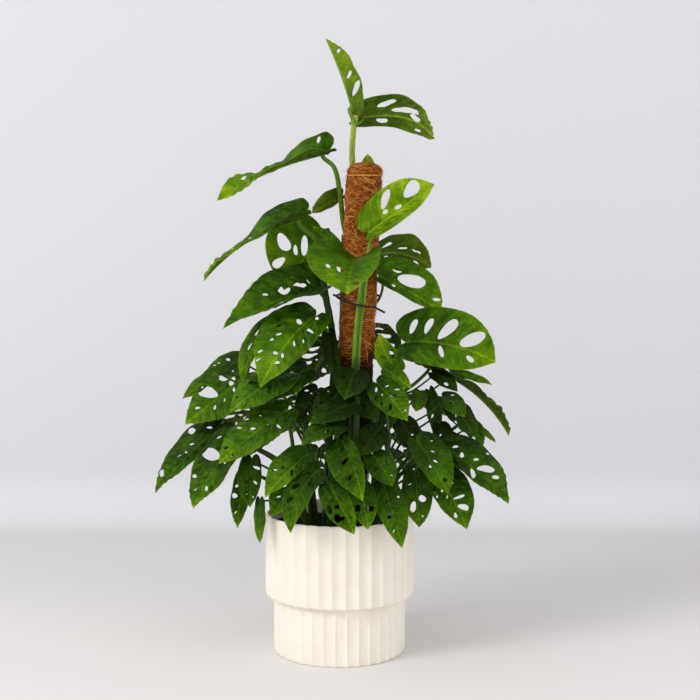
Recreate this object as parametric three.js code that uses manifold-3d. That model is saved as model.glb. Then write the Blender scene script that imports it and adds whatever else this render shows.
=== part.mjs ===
// A young monstera adansonii on a coir pole, in a cream fluted pot.
// Millimetres, +Z up. The origin is the centre of the pot's underside.
import * as THREE from "three";
import { mergeVertices } from "three/addons/utils/BufferGeometryUtils.js";
import Module from "manifold-3d";

const wasm = await Module();
wasm.setup();

// ---- driving dimensions (mm) ----
const GAP = 0.3; // clearance between touching pieces

const POT_HEIGHT = 187;
const UPPER_RADIUS = 100; // over the ridges of the upper tier
const LOWER_RADIUS = 89; // over the ridges of the lower tier
const LEDGE_HEIGHT = 78;
const FLUTES = 36;
const STEPS_PER_FLUTE = 3;
const UPPER_FLUTE_DEPTH = 3.2;
const LOWER_FLUTE_DEPTH = 2.4;
const UPPER_FLUTE_PHASE = 4.8; // degrees from the front centre to the first ridge
const LOWER_FLUTE_PHASE = 6.8;
const INNER_UPPER_RADIUS = 95;
const INNER_LOWER_RADIUS = 84;
const POT_FLOOR = 8;

const SOIL_TOP = 168;
const SOIL_RELIEF = 2;

const POLE_LEAN = 0.0455; // the pole's x grows by this much per mm of height
const POLE_X = 4;
const SLEEVE_RADIUS = 23.5;
const SLEEVE_BOTTOM = 110;
const SLEEVE_TOP = 655;
const SLEEVE_PINCH = 637; // height of the twine round the sleeve
const STAKE_RADIUS = 11;
const STAKE_BOTTOM = 60;
const STAKE_TOP = 630;

const BLADE_THICKNESS = 0.9;
const PETIOLE_RADIUS = 1; // at the blade of a very small leaf
const PETIOLE_GROWTH = 0.012; // the petiole's radius grows by this share of the blade's length
const PETIOLE_SIDES = 3;
const PETIOLE_STEPS = 3;
const PETIOLE_SEAT = 0.1; // where the petiole meets the blade, as a share of its length
const PETIOLE_DROP = 5; // the petiole turns up to the blade this far under it
const SMALLEST_STEP = 0.02; // joints finer than this are merged

// ---- leaves ----
// The half outline of a blade: share of its length, share of its half width.
const EDGE = [
  [-0.075, 0.26], [-0.045, 0.62], [0.08, 0.89], [0.33, 1], [0.57, 0.91], [0.78, 0.58], [0.93, 0.18],
];
const RIB_STEPS = [0.2, 0.46, 0.75]; // points along the midrib
const CROSS_CUTS = { D: [3, 4, 5], F: [3, 4, 5] }; // edge points where a twisted blade is cut across
const LONG_HOLE = 20; // holes longer than this have five corners, the others four
const SMALL_HOLE = 7; // holes shorter than this are left out of the solids

// Each row: name, stem, base, tip, way the upper face looks, half widths [left, right],
// [arch, sway, belly], fold in degrees, roll in degrees (one value, or base, middle and tip),
// and holes as [along, across, length, width, angle]. Across is a share of the half width,
// negative on the left half. Lengths are shares of the blade's length.
const LEAVES = [
  ["A", "tall", [18, -8, 721], [-17, 0, 816], [0.7, 0.65, 0.3], [21, 20], [0, -3, 0.1], 45, 0,
    [[0.24, -0.55, 0.195, 0.076, 39], [0.43, -0.4, 0.101, 0.051, 47], [0.77, -0.3, 0.065, 0.041, 50]]],
  ["B", "tall", [25, 7, 713], [122, -36, 685], [0.1, 0.75, 0.65], [20, 34], [24, 0, 0.85], 0, 0,
    [[0.18, 0.51, 0.184, 0.057, 43], [0.37, 0.37, 0.363, 0.069, 17], [0.14, -0.44, 0.082, 0.073, 9],
     [0.46, 0.18, 0.143, 0.084, -9], [0.5, -0.55, 0.089, 0.048, -14]]],
  ["C", "tall", [39, 34, 637], [38, 34, 668], [0, -1, 0.2], [9, 9], [0, 0, 0.3], 0, 0, []],
  ["D", "tall", [-17, -12, 666], [-159, -30, 603], [0, -0.5, 0.86], [20, 34], [10, 0, 0.1],
    [50, 0, 0], [-5, 30, -70],
    [[0.03, 0.5, 0.044, 0.023, -56], [0.66, -0.41, 0.139, 0.069, -25], [0.69, 0.36, 0.08, 0.045, -30]]],
  ["E", "tall", [4, 20, 612], [-37, 5, 588], [-0.3, 0.8, 0.5], [18, 8], [0, 0, 0.2], 0, 0, []],
  ["F", "left", [-49, -20, 580], [-177, -40, 500], [0, -0.25, 0.97], [15, 34], [14, 0, 0],
    [62, -4, 8], [0, 4, 0],
    [[0.31, -0.49, 0.079, 0.016, 78], [0.47, 0.31, 0.122, 0.081, 82], [0.65, 0.39, 0.153, 0.052, -89]]],
  ["G", "left", [-23, 25, 565], [-75, 20, 485], [0.1, -1, 0.1], [16, 60], [0, 0, 0.1], 0, 0,
    [[0.41, 0.59, 0.265, 0.166, -62], [0.69, 0.43, 0.209, 0.123, 23], [0.29, 0.16, 0.288, 0.094, -31],
     [0.41, 0.27, 0.153, 0.056, -39]]],
  ["H", "left", [-21, -5, 488], [-152, -40, 438], [-0.1, -0.55, 0.85], [44, 45], [8, 0, -0.35], 28, 0,
    [[0.44, 0.2, 0.12, 0.06, 10], [0.27, 0.22, 0.14, 0.04, 10], [0.33, 0.55, 0.08, 0.04, 20],
     [0.35, -0.45, 0.15, 0.06, 30], [0.55, -0.4, 0.13, 0.05, 30]]],
  ["I", "front", [23, -42, 527], [11, -108, 484], [-0.1, -0.5, 0.86], [42, 60], [10, 0, 0.3],
    [32, 24, 10], 0,
    [[0.51, 0.23, 0.145, 0.106, -65], [0.8, -0.25, 0.109, 0.06, 71], [0.51, 0.5, 0.097, 0.055, -60]]],
  ["I2", "left", [-2, -8, 539], [-35, 5, 571], [0, -1, 0.3], [14, 12], [0, 0, 0], 0, 0, []],
  ["VF", "left", [-14, -14, 432], [2, -34, 364], [0.1, -0.9, 0.4], [10, 12], [4, 3, 0], 4, 0,
    [[0.77, 0.28, 0.096, 0.056, -3]]],
  ["J", "front", [39, -34, 562], [123, -45, 624], [0, -1, 0.15], [35, 14], [0, 0, 0.4], 5, 0,
    [[0.32, -0.62, 0.226, 0.094, 41], [0.65, -0.34, 0.275, 0.162, 14], [0.38, -0.11, 0.093, 0.046, -8],
     [0.24, -0.25, 0.061, 0.049, 6]]],
  ["K", "tall", [49, 34, 532], [126, 55, 515], [0.1, 0.75, 0.6], [32, 36], [16, 0, 0.3], 0, 0,
    [[0.12, 0.35, 0.16, 0.05, 45], [0.38, 0.27, 0.15, 0.05, 15], [0.62, 0.3, 0.17, 0.05, 0],
     [0.7, -0.25, 0.11, 0.06, 20], [0.18, -0.25, 0.08, 0.06, 30]]],
  ["L", "tall", [52, -20, 504], [135, -14, 457], [0.1, -0.9, 0.4], [41, 10], [2, -2, 0.35], 0, 0,
    [[0.36, -0.38, 0.376, 0.187, 28], [0.15, -0.45, 0.116, 0.056, 32], [0.18, 0.34, 0.053, 0.041, -16],
     [0.79, -0.25, 0.139, 0.045, 21]]],
  ["M", "right", [87, -26, 418], [204, -46, 393], [0, -1, 0.3], [48, 33], [10, -7, 0.3], 8, 0,
    [[0.07, -0.41, 0.167, 0.05, 75], [0.19, -0.44, 0.188, 0.052, 73], [0.36, -0.42, 0.285, 0.097, 58],
     [0.62, -0.3, 0.289, 0.136, 39], [0.34, 0.34, 0.138, 0.051, 67], [0.67, 0.32, 0.107, 0.058, 17]]],
  ["N", "right", [79, -16, 380], [54, -10, 429], [0.2, -0.9, 0.3], [16, 16], [0, -6, 0], 0, 0,
    [[0.42, 0.5, 0.26, 0.12, 15], [0.45, -0.35, 0.14, 0.06, 50]]],
  ["O", "right", [61, -24, 383], [95, -34, 358], [0, -1, 0.3], [12, 12], [0, 0, 0], 0, 0, []],
  ["P", "left", [-30, -34, 454], [-101, -76, 363], [-0.2, -0.9, 0.5], [29, 46], [18, 0, 0], 0, 0,
    [[0.06, -0.2, 0.083, 0.057, 28], [0.2, 0.16, 0.073, 0.048, -75], [0.53, 0.45, 0.065, 0.035, 62],
     [0.63, 0.1, 0.055, 0.033, 65], [0.71, -0.16, 0.058, 0.052, -51], [0.24, -0.5, 0.073, 0.067, -73]]],
  ["Q", "left", [-65, -14, 449], [-125, -36, 361], [-0.3, -0.8, 0.5], [12, 20], [8, 17, 0], 0, 0,
    [[0.36, 0.4, 0.13, 0.03, 10], [0.55, 0.3, 0.1, 0.03, 10]]],
  ["R", "left", [-130, 40, 388], [-183, 50, 375], [0, -0.75, 0.6], [18, 20], [0, 0, 0.1], 0, 0,
    [[0.4, 0.4, 0.14, 0.07, 40], [0.45, -0.4, 0.14, 0.07, 40]]],
  ["S", "upleft", [-162, 0, 380], [-209, -14, 342], [-0.2, -0.6, 0.7], [13, 13], [0, 0, 0], 0, 0,
    [[0.52, -0.47, 0.148, 0.056, -87]]],
  ["T", "upleft", [-120, -14, 377], [-202, -44, 312], [-0.2, -0.85, 0.5], [34, 34], [0, 0, -0.1], 0, 0,
    [[0.56, 0.41, 0.259, 0.14, 57], [0.29, 0.54, 0.119, 0.11, 79], [0.24, 0.16, 0.124, 0.063, -24]]],
  ["U", "lowleft", [-157, -22, 309], [-240, -58, 224], [-0.4, -0.8, 0.5], [14, 31], [4, 0, 0], 0, 0,
    [[0.26, 0.73, 0.095, 0.075, -90], [0.8, 0.37, 0.095, 0.046, -42], [0.47, 0.21, 0.036, 0.024, 67]]],
  ["V", "lowleft", [-133, -46, 301], [-188, -82, 208], [-0.4, -0.85, 0.4], [22, 32], [4, 0, 0.2], 0, 0,
    [[0.32, 0.47, 0.237, 0.135, 83], [0.62, 0.66, 0.061, 0.046, 77], [0.69, -0.27, 0.08, 0.049, 62]]],
  ["W", "lowleft", [-66, -75, 335], [-151, -110, 271], [-0.2, -0.7, 0.7], [26, 30], [4, 0, 0.2], 0, 0,
    [[0.41, 0.23, 0.108, 0.049, 64], [0.2, -0.58, 0.131, 0.031, 84], [0.23, 0.46, 0.089, 0.037, 71],
     [0.38, 0.82, 0.065, 0.053, 57], [0.26, -0.28, 0.105, 0.031, -89]]],
  ["X", "upleft", [-65, -50, 380], [-140, -88, 333], [-0.3, -0.7, 0.6], [28, 30], [6, 0, 0], 0, 0,
    [[0.25, 0.4, 0.12, 0.06, 50], [0.5, 0.4, 0.14, 0.06, 40], [0.4, -0.42, 0.14, 0.06, 40]]],
  ["Y", "lowleft", [-123, -30, 249], [-134, -45, 174], [-0.3, -1, 0.2], [13, 14], [0, 2, 0], 0, 0,
    [[0.46, 0.56, 0.106, 0.081, 85]]],
  ["Y2", "lowleft", [-114, -50, 268], [-116, -62, 205], [-0.1, -1, 0.3], [15, 17], [4, 0, 0], 10, 0,
    [[0.2, -0.52, 0.167, 0.057, 71], [0.49, 0.33, 0.101, 0.06, -33]]],
  ["Y3", "lowleft", [-103, -60, 215], [-103, -68, 159], [-0.6, -1, 0.2], [9, 9], [0, 0, 0], 0, 0, []],
  ["Z", "frontleft", [-39, -95, 280], [-93, -118, 229], [-0.2, -0.8, 0.5], [13, 26], [6, 0, 0], 0, 0,
    [[0.45, 0.29, 0.077, 0.049, 45], [0.42, -0.4, 0.1, 0.05, 45]]],
  ["AA", "frontleft", [-27, -108, 262], [-60, -130, 186], [-0.2, -0.9, 0.4], [16, 20], [6, 8, 0], 0, 0,
    [[0.35, 0.45, 0.13, 0.07, 40], [0.55, 0.42, 0.12, 0.06, 40]]],
  ["RR", "frontleft", [-47, -80, 255], [-86, -104, 202], [-0.2, -0.9, 0.4], [20, 24], [0, 0, 0], 0, 0,
    [[0.4, 0.42, 0.14, 0.07, 40], [0.4, -0.45, 0.14, 0.07, 40]]],
  ["BB", "frontmid", [5, -110, 300], [30, -142, 229], [0.1, -0.9, 0.4], [12, 30], [6, -2, 0], 0, 0,
    [[0.35, 0.3, 0.14, 0.06, 60], [0.62, 0.3, 0.14, 0.06, 60]]],
  ["CC", "frontmid", [-12, -112, 244], [20, -138, 186], [0.1, -0.9, 0.4], [15, 21], [4, 0, 0.1], 0, 0,
    [[0.4, 0.71, 0.177, 0.088, 8], [0.41, 0.23, 0.097, 0.085, -69], [0.6, 0.52, 0.166, 0.117, 17],
     [0.64, 0.25, 0.115, 0.068, 70]]],
  ["DD", "frontmid", [27, -100, 243], [37, -124, 189], [0.1, -0.9, 0.4], [17, 20], [4, 0, 0], 0, 0,
    [[0.52, 0.46, 0.172, 0.126, 21], [0.58, -0.38, 0.175, 0.12, 73]]],
  ["EE", "lowright", [56, -90, 243], [80, -118, 164], [0.1, -0.9, 0.4], [20, 18], [6, 0, 0], 0, 0,
    [[0.51, 0.29, 0.103, 0.058, 37]]],
  ["FF", "lowright", [99, -52, 250], [104, -68, 180], [0.2, -1, 0.3], [20, 20], [4, 0, 0.1], 0, 0,
    [[0.46, -0.3, 0.137, 0.126, 34], [0.6, 0.34, 0.201, 0.111, 14]]],
  ["GG", "lowright", [125, -35, 250], [167, -60, 176], [0.2, -0.9, 0.4], [32, 21], [6, 0, 0.1], 0, 0,
    [[0.67, -0.26, 0.17, 0.092, 50], [0.51, -0.3, 0.18, 0.043, 83], [0.32, 0.8, 0.12, 0.058, 13],
     [0.72, 0.34, 0.09, 0.047, 17]]],
  ["HH", "lowright", [100, -62, 293], [140, -86, 227], [0.2, -0.85, 0.5], [30, 18], [6, 0, 0], 0, 0,
    [[0.78, -0.14, 0.078, 0.069, 8]]],
  ["II", "lowright", [135, -30, 283], [221, -64, 211], [0.3, -0.75, 0.55], [38, 16], [6, 0, 0.15], 0, 0,
    [[0.52, -0.32, 0.202, 0.09, 47], [0.45, 0.46, 0.127, 0.056, 47], [0.66, -0.34, 0.1, 0.051, 52],
     [0.23, -0.12, 0.058, 0.043, -54], [0.41, -0.86, 0.048, 0.036, 70]]],
  ["JJ", "lowright", [164, 10, 312], [193, 10, 271], [0.2, -0.6, 0.8], [18, 15], [8, 0, 0], 0, 0,
    [[0.32, 0.27, 0.111, 0.092, -66], [0.58, 0.62, 0.135, 0.083, -54]]],
  ["JS", "lowright", [179, 9, 306], [212, 14, 279], [0.2, -0.8, 0.5], [5, 5], [3, 0, 0], 0, 0, []],
  ["KK", "lowright", [136, -20, 346], [165, -34, 320], [0.2, -0.7, 0.7], [17, 17], [6, 0, 0], 0, 0,
    [[0.4, 0.24, 0.13, 0.109, -84]]],
  ["WA", "lowright", [145, -4, 334], [182, -12, 289], [0.2, -0.7, 0.7], [20, 18], [5, 0, 0], 4, 0,
    [[0.38, -0.22, 0.112, 0.102, 50], [0.44, 0.74, 0.09, 0.076, -58]]],
  ["WB", "lowright", [134, -10, 308], [143, -26, 272], [0.1, -0.85, 0.5], [13, 14], [5, 0, 0], 4, 0,
    [[0.45, 0.29, 0.166, 0.106, -12]]],
  ["WC", "right", [125, 10, 375], [159, 6, 349], [0.2, -0.7, 0.7], [13, 14], [4, 0, 0], 4, 0,
    [[0.56, 0.39, 0.161, 0.127, -28]]],
  ["WD", "lowright", [83, -30, 316], [98, -46, 275], [0.1, -0.85, 0.5], [17, 17], [5, 0, 0], 4, 0,
    [[0.49, -0.22, 0.134, 0.085, 41]]],
  ["LL", "right", [117, 20, 383], [235, 50, 284], [0.5, 0.15, 0.85], [22, 24], [15, 0, 0], 8, 0,
    [[0.32, 0.5, 0.08, 0.04, 30], [0.56, 0.45, 0.08, 0.04, 30]]],
  ["LS", "right", [153, 35, 373], [209, 40, 355], [0.3, -0.8, 0.5], [7, 6], [4, 0, 0], 0, 0, []],
  ["MM", "right", [122, 30, 348], [134, 40, 279], [0.5, -0.8, 0.2], [11, 14], [0, -4, 0], 0, 0,
    [[0.5, 0.4, 0.1, 0.05, 40]]],
  ["NN", "lowright", [48, -70, 369], [87, -98, 323], [0.1, -0.85, 0.5], [22, 22], [5, 0, 0], 0, 0,
    [[0.15, 0.3, 0.13, 0.06, 55], [0.2, -0.4, 0.12, 0.05, 70], [0.45, -0.25, 0.13, 0.07, 60],
     [0.6, 0.35, 0.16, 0.07, 50]]],
  ["OO", "right", [106, -40, 355], [100, -50, 329], [0.2, -0.9, 0.4], [11, 11], [2, 0, 0.2], 0, 0, []],
  ["PP", "frontmid", [22, -60, 383], [7, -90, 349], [0, -0.7, 0.6], [23, 23], [6, 0, 0], 0, 0,
    [[0.35, 0.45, 0.14, 0.07, 40], [0.4, -0.45, 0.14, 0.07, 40]]],
  ["VA", "frontmid", [17, -48, 360], [48, -58, 319], [0.1, -0.85, 0.5], [20, 22], [6, 0, 0], 4, 0,
    [[0.53, 0.15, 0.119, 0.078, 8]]],
  ["VB", "frontmid", [-1, -50, 355], [-30, -62, 309], [-0.1, -0.85, 0.5], [22, 20], [6, 0, 0], 4, 0,
    [[0.52, -0.15, 0.107, 0.071, 3]]],
  ["VC", "lowright", [58, -36, 343], [73, -42, 312], [0.2, -0.85, 0.5], [15, 14], [5, 0, 0], 4, 0, []],
  ["VD", "lowright", [53, -78, 311], [27, -96, 278], [0, -0.85, 0.5], [18, 18], [5, 0, 0], 4, 0, []],
  ["VE", "upleft", [-28, -34, 358], [-53, -52, 313], [-0.1, -0.85, 0.5], [20, 18], [5, 0, 0], 4, 0, []],
  ["QQ", "frontleft", [8, -102, 319], [-47, -126, 296], [-0.1, -0.5, 0.8], [18, 20], [8, 0, 0], 0, 0,
    [[0.4, 0.45, 0.13, 0.07, 40], [0.45, -0.42, 0.13, 0.07, 40]]],
  ["SS", "frontleft", [20, -85, 344], [-36, -110, 320], [-0.1, -0.6, 0.8], [20, 20], [4, 0, 0], 0, 0,
    [[0.4, 0.45, 0.13, 0.07, 40], [0.45, -0.42, 0.13, 0.07, 40]]],
  ["TT", "upleft", [-43, -30, 384], [-103, -56, 342], [-0.2, -0.7, 0.7], [26, 24], [4, 0, 0], 0, 0,
    [[0.4, 0.45, 0.13, 0.07, 40], [0.45, -0.42, 0.13, 0.07, 40]]],
  ["UU", "frontmid", [43, -90, 280], [68, -108, 241], [0.2, -0.8, 0.5], [20, 20], [4, 0, 0], 0, 0,
    [[0.42, 0.45, 0.15, 0.08, 40], [0.42, -0.45, 0.15, 0.08, 40]]],
  ["BA", "back", [29, 62, 586], [32, 146, 566], [0, 0.3, 0.95], [22, 22], [8, 0, 0.2], 10, 0, []],
  ["BD", "back", [24, 62, 488], [27, 158, 450], [0, 0.4, 0.9], [22, 22], [8, 0, 0.1], 8, 0, []],
  ["BF", "back", [30, 62, 430], [70, 140, 370], [0.1, 0.6, 0.8], [38, 38], [8, 0, 0.1], 6, 0, []],
  ["BG", "back", [-10, 66, 410], [-44, 146, 345], [-0.1, 0.6, 0.8], [40, 38], [8, 0, 0.1], 6, 0, []],
  ["BH", "backleft", [-84, 40, 330], [-176, 84, 276], [-0.5, 0.5, 0.7], [36, 38], [8, 0, 0.1], 4, 0, []],
  ["BI", "backleft", [-70, 70, 310], [-134, 140, 240], [-0.4, 0.7, 0.6], [36, 36], [8, 0, 0.1], 4, 0, []],
  ["BJ", "backleft", [-36, 86, 330], [-72, 168, 270], [-0.2, 0.8, 0.6], [36, 34], [8, 0, 0.1], 4, 0, []],
  ["BL", "backleft", [-30, 100, 260], [-44, 160, 184], [-0.1, 0.9, 0.5], [34, 34], [6, 0, 0.1], 4, 0, []],
  ["BM", "backright", [76, 60, 340], [160, 110, 300], [0.5, 0.5, 0.7], [36, 36], [8, 0, 0.1], 4, 0, []],
  ["BN", "backright", [60, 80, 300], [120, 150, 236], [0.4, 0.7, 0.6], [34, 36], [8, 0, 0.1], 4, 0, []],
  ["BO", "backright", [20, 92, 330], [34, 176, 268], [0.1, 0.8, 0.6], [34, 36], [8, 0, 0.1], 4, 0, []],
  ["BP", "backright", [88, 56, 260], [136, 100, 186], [0.5, 0.7, 0.5], [32, 32], [6, 0, 0.1], 4, 0, []],
];

// Leaves with no holes of their own in the table get these, larger or smaller by the leaf's turn.
const PLAIN_HOLES = [[0.36, 0.46, 0.2, 0.08, 48], [0.42, -0.45, 0.2, 0.08, 45]];
const SMALL_BLADE = 60; // blades shorter than this have no holes

// ---- stems ----
// Each stem is a route of points with its radius, rooted in the soil.
const STEMS = {
  tall: {
    radius: 4.5,
    route: [
      [13, 36, 145], [14, 36.5, 200], [20, 37, 400], [25, 37, 570],
      [17, 28, 664], [19, 4, 700], [21, -5, 717],
    ],
  },
  front: {
    radius: 6,
    route: [
      [14, -38, 145], [18, -36, 300], [22, -33, 396],
      [25, -32, 440], [31, -32, 490], [34, -33, 512],
    ],
  },
  left: {
    radius: 5,
    route: [
      [-20, -16, 145], [-13, -10, 300], [-7, -8, 404],
      [-12, -6, 446], [-19, -6, 484], [-24, -8, 545],
    ],
  },
  back: { radius: 4, route: [[-2, 38, 145], [2, 42, 350], [4, 44, 480], [6, 48, 560]] },
  right: { radius: 4, route: [[40, -12, 145], [48, -14, 250], [60, -13, 330], [72, -10, 366]] },
  upleft: { radius: 4, route: [[-36, 4, 145], [-42, 4, 250], [-48, -4, 330], [-52, -10, 352]] },
  lowleft: { radius: 4, route: [[-40, -24, 145], [-48, -32, 200], [-60, -40, 262]] },
  frontleft: { radius: 4, route: [[-14, -44, 145], [-12, -58, 220], [-8, -70, 290]] },
  frontmid: { radius: 4, route: [[14, -60, 145], [18, -66, 220], [22, -66, 300], [24, -62, 350]] },
  lowright: { radius: 4, route: [[46, -40, 145], [56, -44, 220], [66, -46, 300]] },
  backleft: { radius: 4, route: [[-30, 34, 145], [-40, 50, 230], [-48, 60, 300]] },
  backright: { radius: 4, route: [[42, 36, 145], [48, 56, 230], [54, 66, 300]] },
};
const STEM_SIDES = 5;
const STEM_STEPS = 7;

// Petioles that pass the pole closely follow these points between stem and blade.
const PETIOLE_ROUTES = {
  A: [[20, -3, 706]],
  B: [[21, 0, 703]],
  D: [[22, 37, 520], [6, 22, 572], [1, 4, 612], [-7, -9, 648]],
  J: [[33, -33, 500], [37, -35, 532]],
  L: [[23, 37, 452], [50, 32, 468], [58, 10, 490]],
};
// Radii of the petioles that are stouter than their blades call for.
const STOUT_PETIOLES = { A: 3, D: 4, F: 4, U: 3, V: 3, W: 3, Y: 3, JJ: 3, II: 3, GG: 3 };

// ---- small helpers ----
const vec = ([x, y, z]) => new THREE.Vector3(x, y, z);
const radians = THREE.MathUtils.degToRad;
const three = (value) => (Array.isArray(value) ? value : [value, value, value]);
const fraction = (x) => x - Math.floor(x);

// A parabola through three values at 0, 0.5 and 1.
function bend([first, middle, last], t) {
  const u = THREE.MathUtils.clamp(t, 0, 1);
  return first * (1 - u) * (1 - 2 * u) + middle * 4 * u * (1 - u) + last * u * (2 * u - 1);
}

function toSolid(geometry) {
  const bare = geometry.clone();
  bare.deleteAttribute("normal");
  bare.deleteAttribute("uv");
  const welded = mergeVertices(bare, 1e-3);
  const index = welded.index.array;
  const kept = [];
  for (let i = 0; i < index.length; i += 3) {
    const [a, b, c] = [index[i], index[i + 1], index[i + 2]];
    if (a !== b && b !== c && c !== a) kept.push(a, b, c);
  }
  const vertProperties = new Float32Array(welded.attributes.position.array);
  return new wasm.Manifold(new wasm.Mesh({ numProp: 3, vertProperties, triVerts: new Uint32Array(kept) }));
}

function toGeometry(solid) {
  const mesh = solid.getMesh();
  const geometry = new THREE.BufferGeometry();
  geometry.setAttribute("position", new THREE.Float32BufferAttribute(mesh.vertProperties, 3));
  geometry.setIndex([...mesh.triVerts]);
  geometry.computeVertexNormals();
  return geometry;
}

// A lathe about the vertical axis, from [radius, height] pairs.
function turned(profile, segments) {
  const lathe = new THREE.LatheGeometry(profile.map(([r, z]) => new THREE.Vector2(r, z)), segments);
  return lathe.rotateX(Math.PI / 2);
}

// Moves every vertex of a geometry by a function of the vertex.
function reshape(geometry, move) {
  const position = geometry.attributes.position;
  const point = new THREE.Vector3();
  for (let i = 0; i < position.count; i += 1) {
    move(point.fromBufferAttribute(position, i));
    position.setXYZ(i, point.x, point.y, point.z);
  }
  return geometry;
}

function tube(points, radius, sides, steps) {
  const section = new THREE.Shape();
  for (let i = 0; i < sides; i += 1) {
    const angle = (2 * Math.PI * (i + 0.5)) / sides;
    section[i ? "lineTo" : "moveTo"](radius * Math.cos(angle), radius * Math.sin(angle));
  }
  section.closePath();
  const path = new THREE.CatmullRomCurve3(points);
  return new THREE.ExtrudeGeometry(section, { steps, bevelEnabled: false, extrudePath: path });
}

// ---- pot ----
// The share of the flute's depth at an angle: 0 on a ridge, 1 in the middle of a flute.
function fluteDip(x, y, phase) {
  const fromFront = THREE.MathUtils.radToDeg(Math.atan2(x, -y));
  const across = fraction(((fromFront - phase) * FLUTES) / 360);
  return 1 - (1 - 2 * across) ** 2;
}

function potSolid() {
  const profile = [
    [0, 0], [LOWER_RADIUS, 0], [LOWER_RADIUS, LEDGE_HEIGHT],
    [UPPER_RADIUS, LEDGE_HEIGHT + 1], [UPPER_RADIUS, POT_HEIGHT], [0, POT_HEIGHT],
  ];
  const body = turned(profile, FLUTES * STEPS_PER_FLUTE);
  body.rotateZ(radians(UPPER_FLUTE_PHASE));
  reshape(body, (point) => {
    const radius = Math.hypot(point.x, point.y);
    const upper = point.z > LEDGE_HEIGHT + 0.5;
    const ridge = upper ? UPPER_RADIUS : LOWER_RADIUS;
    if (Math.abs(radius - ridge) > 0.01) return;
    const phase = upper ? UPPER_FLUTE_PHASE : LOWER_FLUTE_PHASE;
    const depth = upper ? UPPER_FLUTE_DEPTH : LOWER_FLUTE_DEPTH;
    const shrink = 1 - (depth * fluteDip(point.x, point.y, phase)) / radius;
    point.x *= shrink;
    point.y *= shrink;
  });
  const hollow = [
    [0, POT_FLOOR], [INNER_LOWER_RADIUS, POT_FLOOR], [INNER_LOWER_RADIUS, LEDGE_HEIGHT - 3],
    [INNER_UPPER_RADIUS, LEDGE_HEIGHT + 6], [INNER_UPPER_RADIUS, POT_HEIGHT + 1], [0, POT_HEIGHT + 1],
  ];
  return toSolid(body).subtract(toSolid(turned(hollow, 36)));
}

// ---- soil ----
function soilSolid() {
  const inner = INNER_UPPER_RADIUS - GAP - 0.3;
  const profile = [
    [0, POT_FLOOR + GAP], [INNER_LOWER_RADIUS - 2 * GAP, POT_FLOOR + GAP],
    [INNER_LOWER_RADIUS - 2 * GAP, LEDGE_HEIGHT - 3], [inner, LEDGE_HEIGHT + 6 + GAP],
    [inner, SOIL_TOP], [inner / 2, SOIL_TOP], [0, SOIL_TOP],
  ];
  const body = reshape(turned(profile, 24), (point) => {
    if (point.z < SOIL_TOP - 1) return;
    const broad = Math.sin(point.x * 0.21 + 1) * Math.cos(point.y * 0.17);
    const fine = 0.5 * Math.sin(point.x * 0.09 - point.y * 0.31);
    point.z += SOIL_RELIEF * (broad + fine);
  });
  return toSolid(body);
}

// ---- coir pole ----
const lean = (point) => {
  point.x += POLE_X + POLE_LEAN * point.z;
};

function sleeveSolid() {
  const heights = [SLEEVE_BOTTOM, 240, 350, 460, 560, 628];
  const profile = [
    [0, SLEEVE_BOTTOM], ...heights.map((z) => [SLEEVE_RADIUS, z]),
    [SLEEVE_RADIUS - 0.9, SLEEVE_PINCH], [SLEEVE_RADIUS + 0.4, SLEEVE_PINCH + 6],
    [SLEEVE_RADIUS - 3, SLEEVE_TOP - 4], [SLEEVE_RADIUS - 10, SLEEVE_TOP], [0, SLEEVE_TOP + 1],
  ];
  const body = reshape(turned(profile, 20), (point) => {
    const radius = Math.hypot(point.x, point.y);
    if (radius < SLEEVE_RADIUS - 0.5 || Math.abs(point.z - SLEEVE_PINCH) < 1) return;
    const angle = Math.atan2(point.y, point.x);
    const swell = 0.35 * Math.sin(3 * angle + point.z * 0.11) + 0.3 * Math.sin(5 * angle - point.z * 0.23);
    point.x *= 1 + swell / radius;
    point.y *= 1 + swell / radius;
  });
  const bore = turned([[0, SLEEVE_BOTTOM - 5], [STAKE_RADIUS + GAP, SLEEVE_BOTTOM - 5],
    [STAKE_RADIUS + GAP, STAKE_TOP + GAP], [0, STAKE_TOP + GAP]], 20);
  return toSolid(reshape(body, lean)).subtract(toSolid(reshape(bore, lean)));
}

function stakeSolid(extra = 0) {
  const radius = STAKE_RADIUS + extra;
  const bottom = STAKE_BOTTOM - extra;
  const profile = [[0, bottom], [radius, bottom], [radius, STAKE_TOP], [0, STAKE_TOP]];
  return toSolid(reshape(turned(profile, 20), lean));
}

function twineSolid() {
  const ring = new THREE.TorusGeometry(SLEEVE_RADIUS + 0.8, 1, 4, 20);
  ring.translate(0, 0, SLEEVE_PINCH);
  return toSolid(reshape(ring, lean));
}

// ---- plant tie ----
const TIE_RADIUS = 1.5;
const TIE_ROUTE = [
  [60, -25, 457], [46, -27, 464], [34, -41, 466], [18, -41, 469], [4, -31, 474],
  [-2.6, -14, 477], [-2.6, 8, 479], [8, 24, 480], [26, 28.6, 480],
  [46, 20, 479], [54, 2, 478], [53, -8, 477],
];
const TIE_END = [[10, -35, 472], [4, -31.5, 475], [-8, -31, 481]];

function tieSolid() {
  const wire = toSolid(tube(TIE_ROUTE.map(vec), TIE_RADIUS, 4, 18));
  const end = toSolid(tube(TIE_END.map(vec), TIE_RADIUS, 4, 3));
  return wire.add(end);
}

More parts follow.
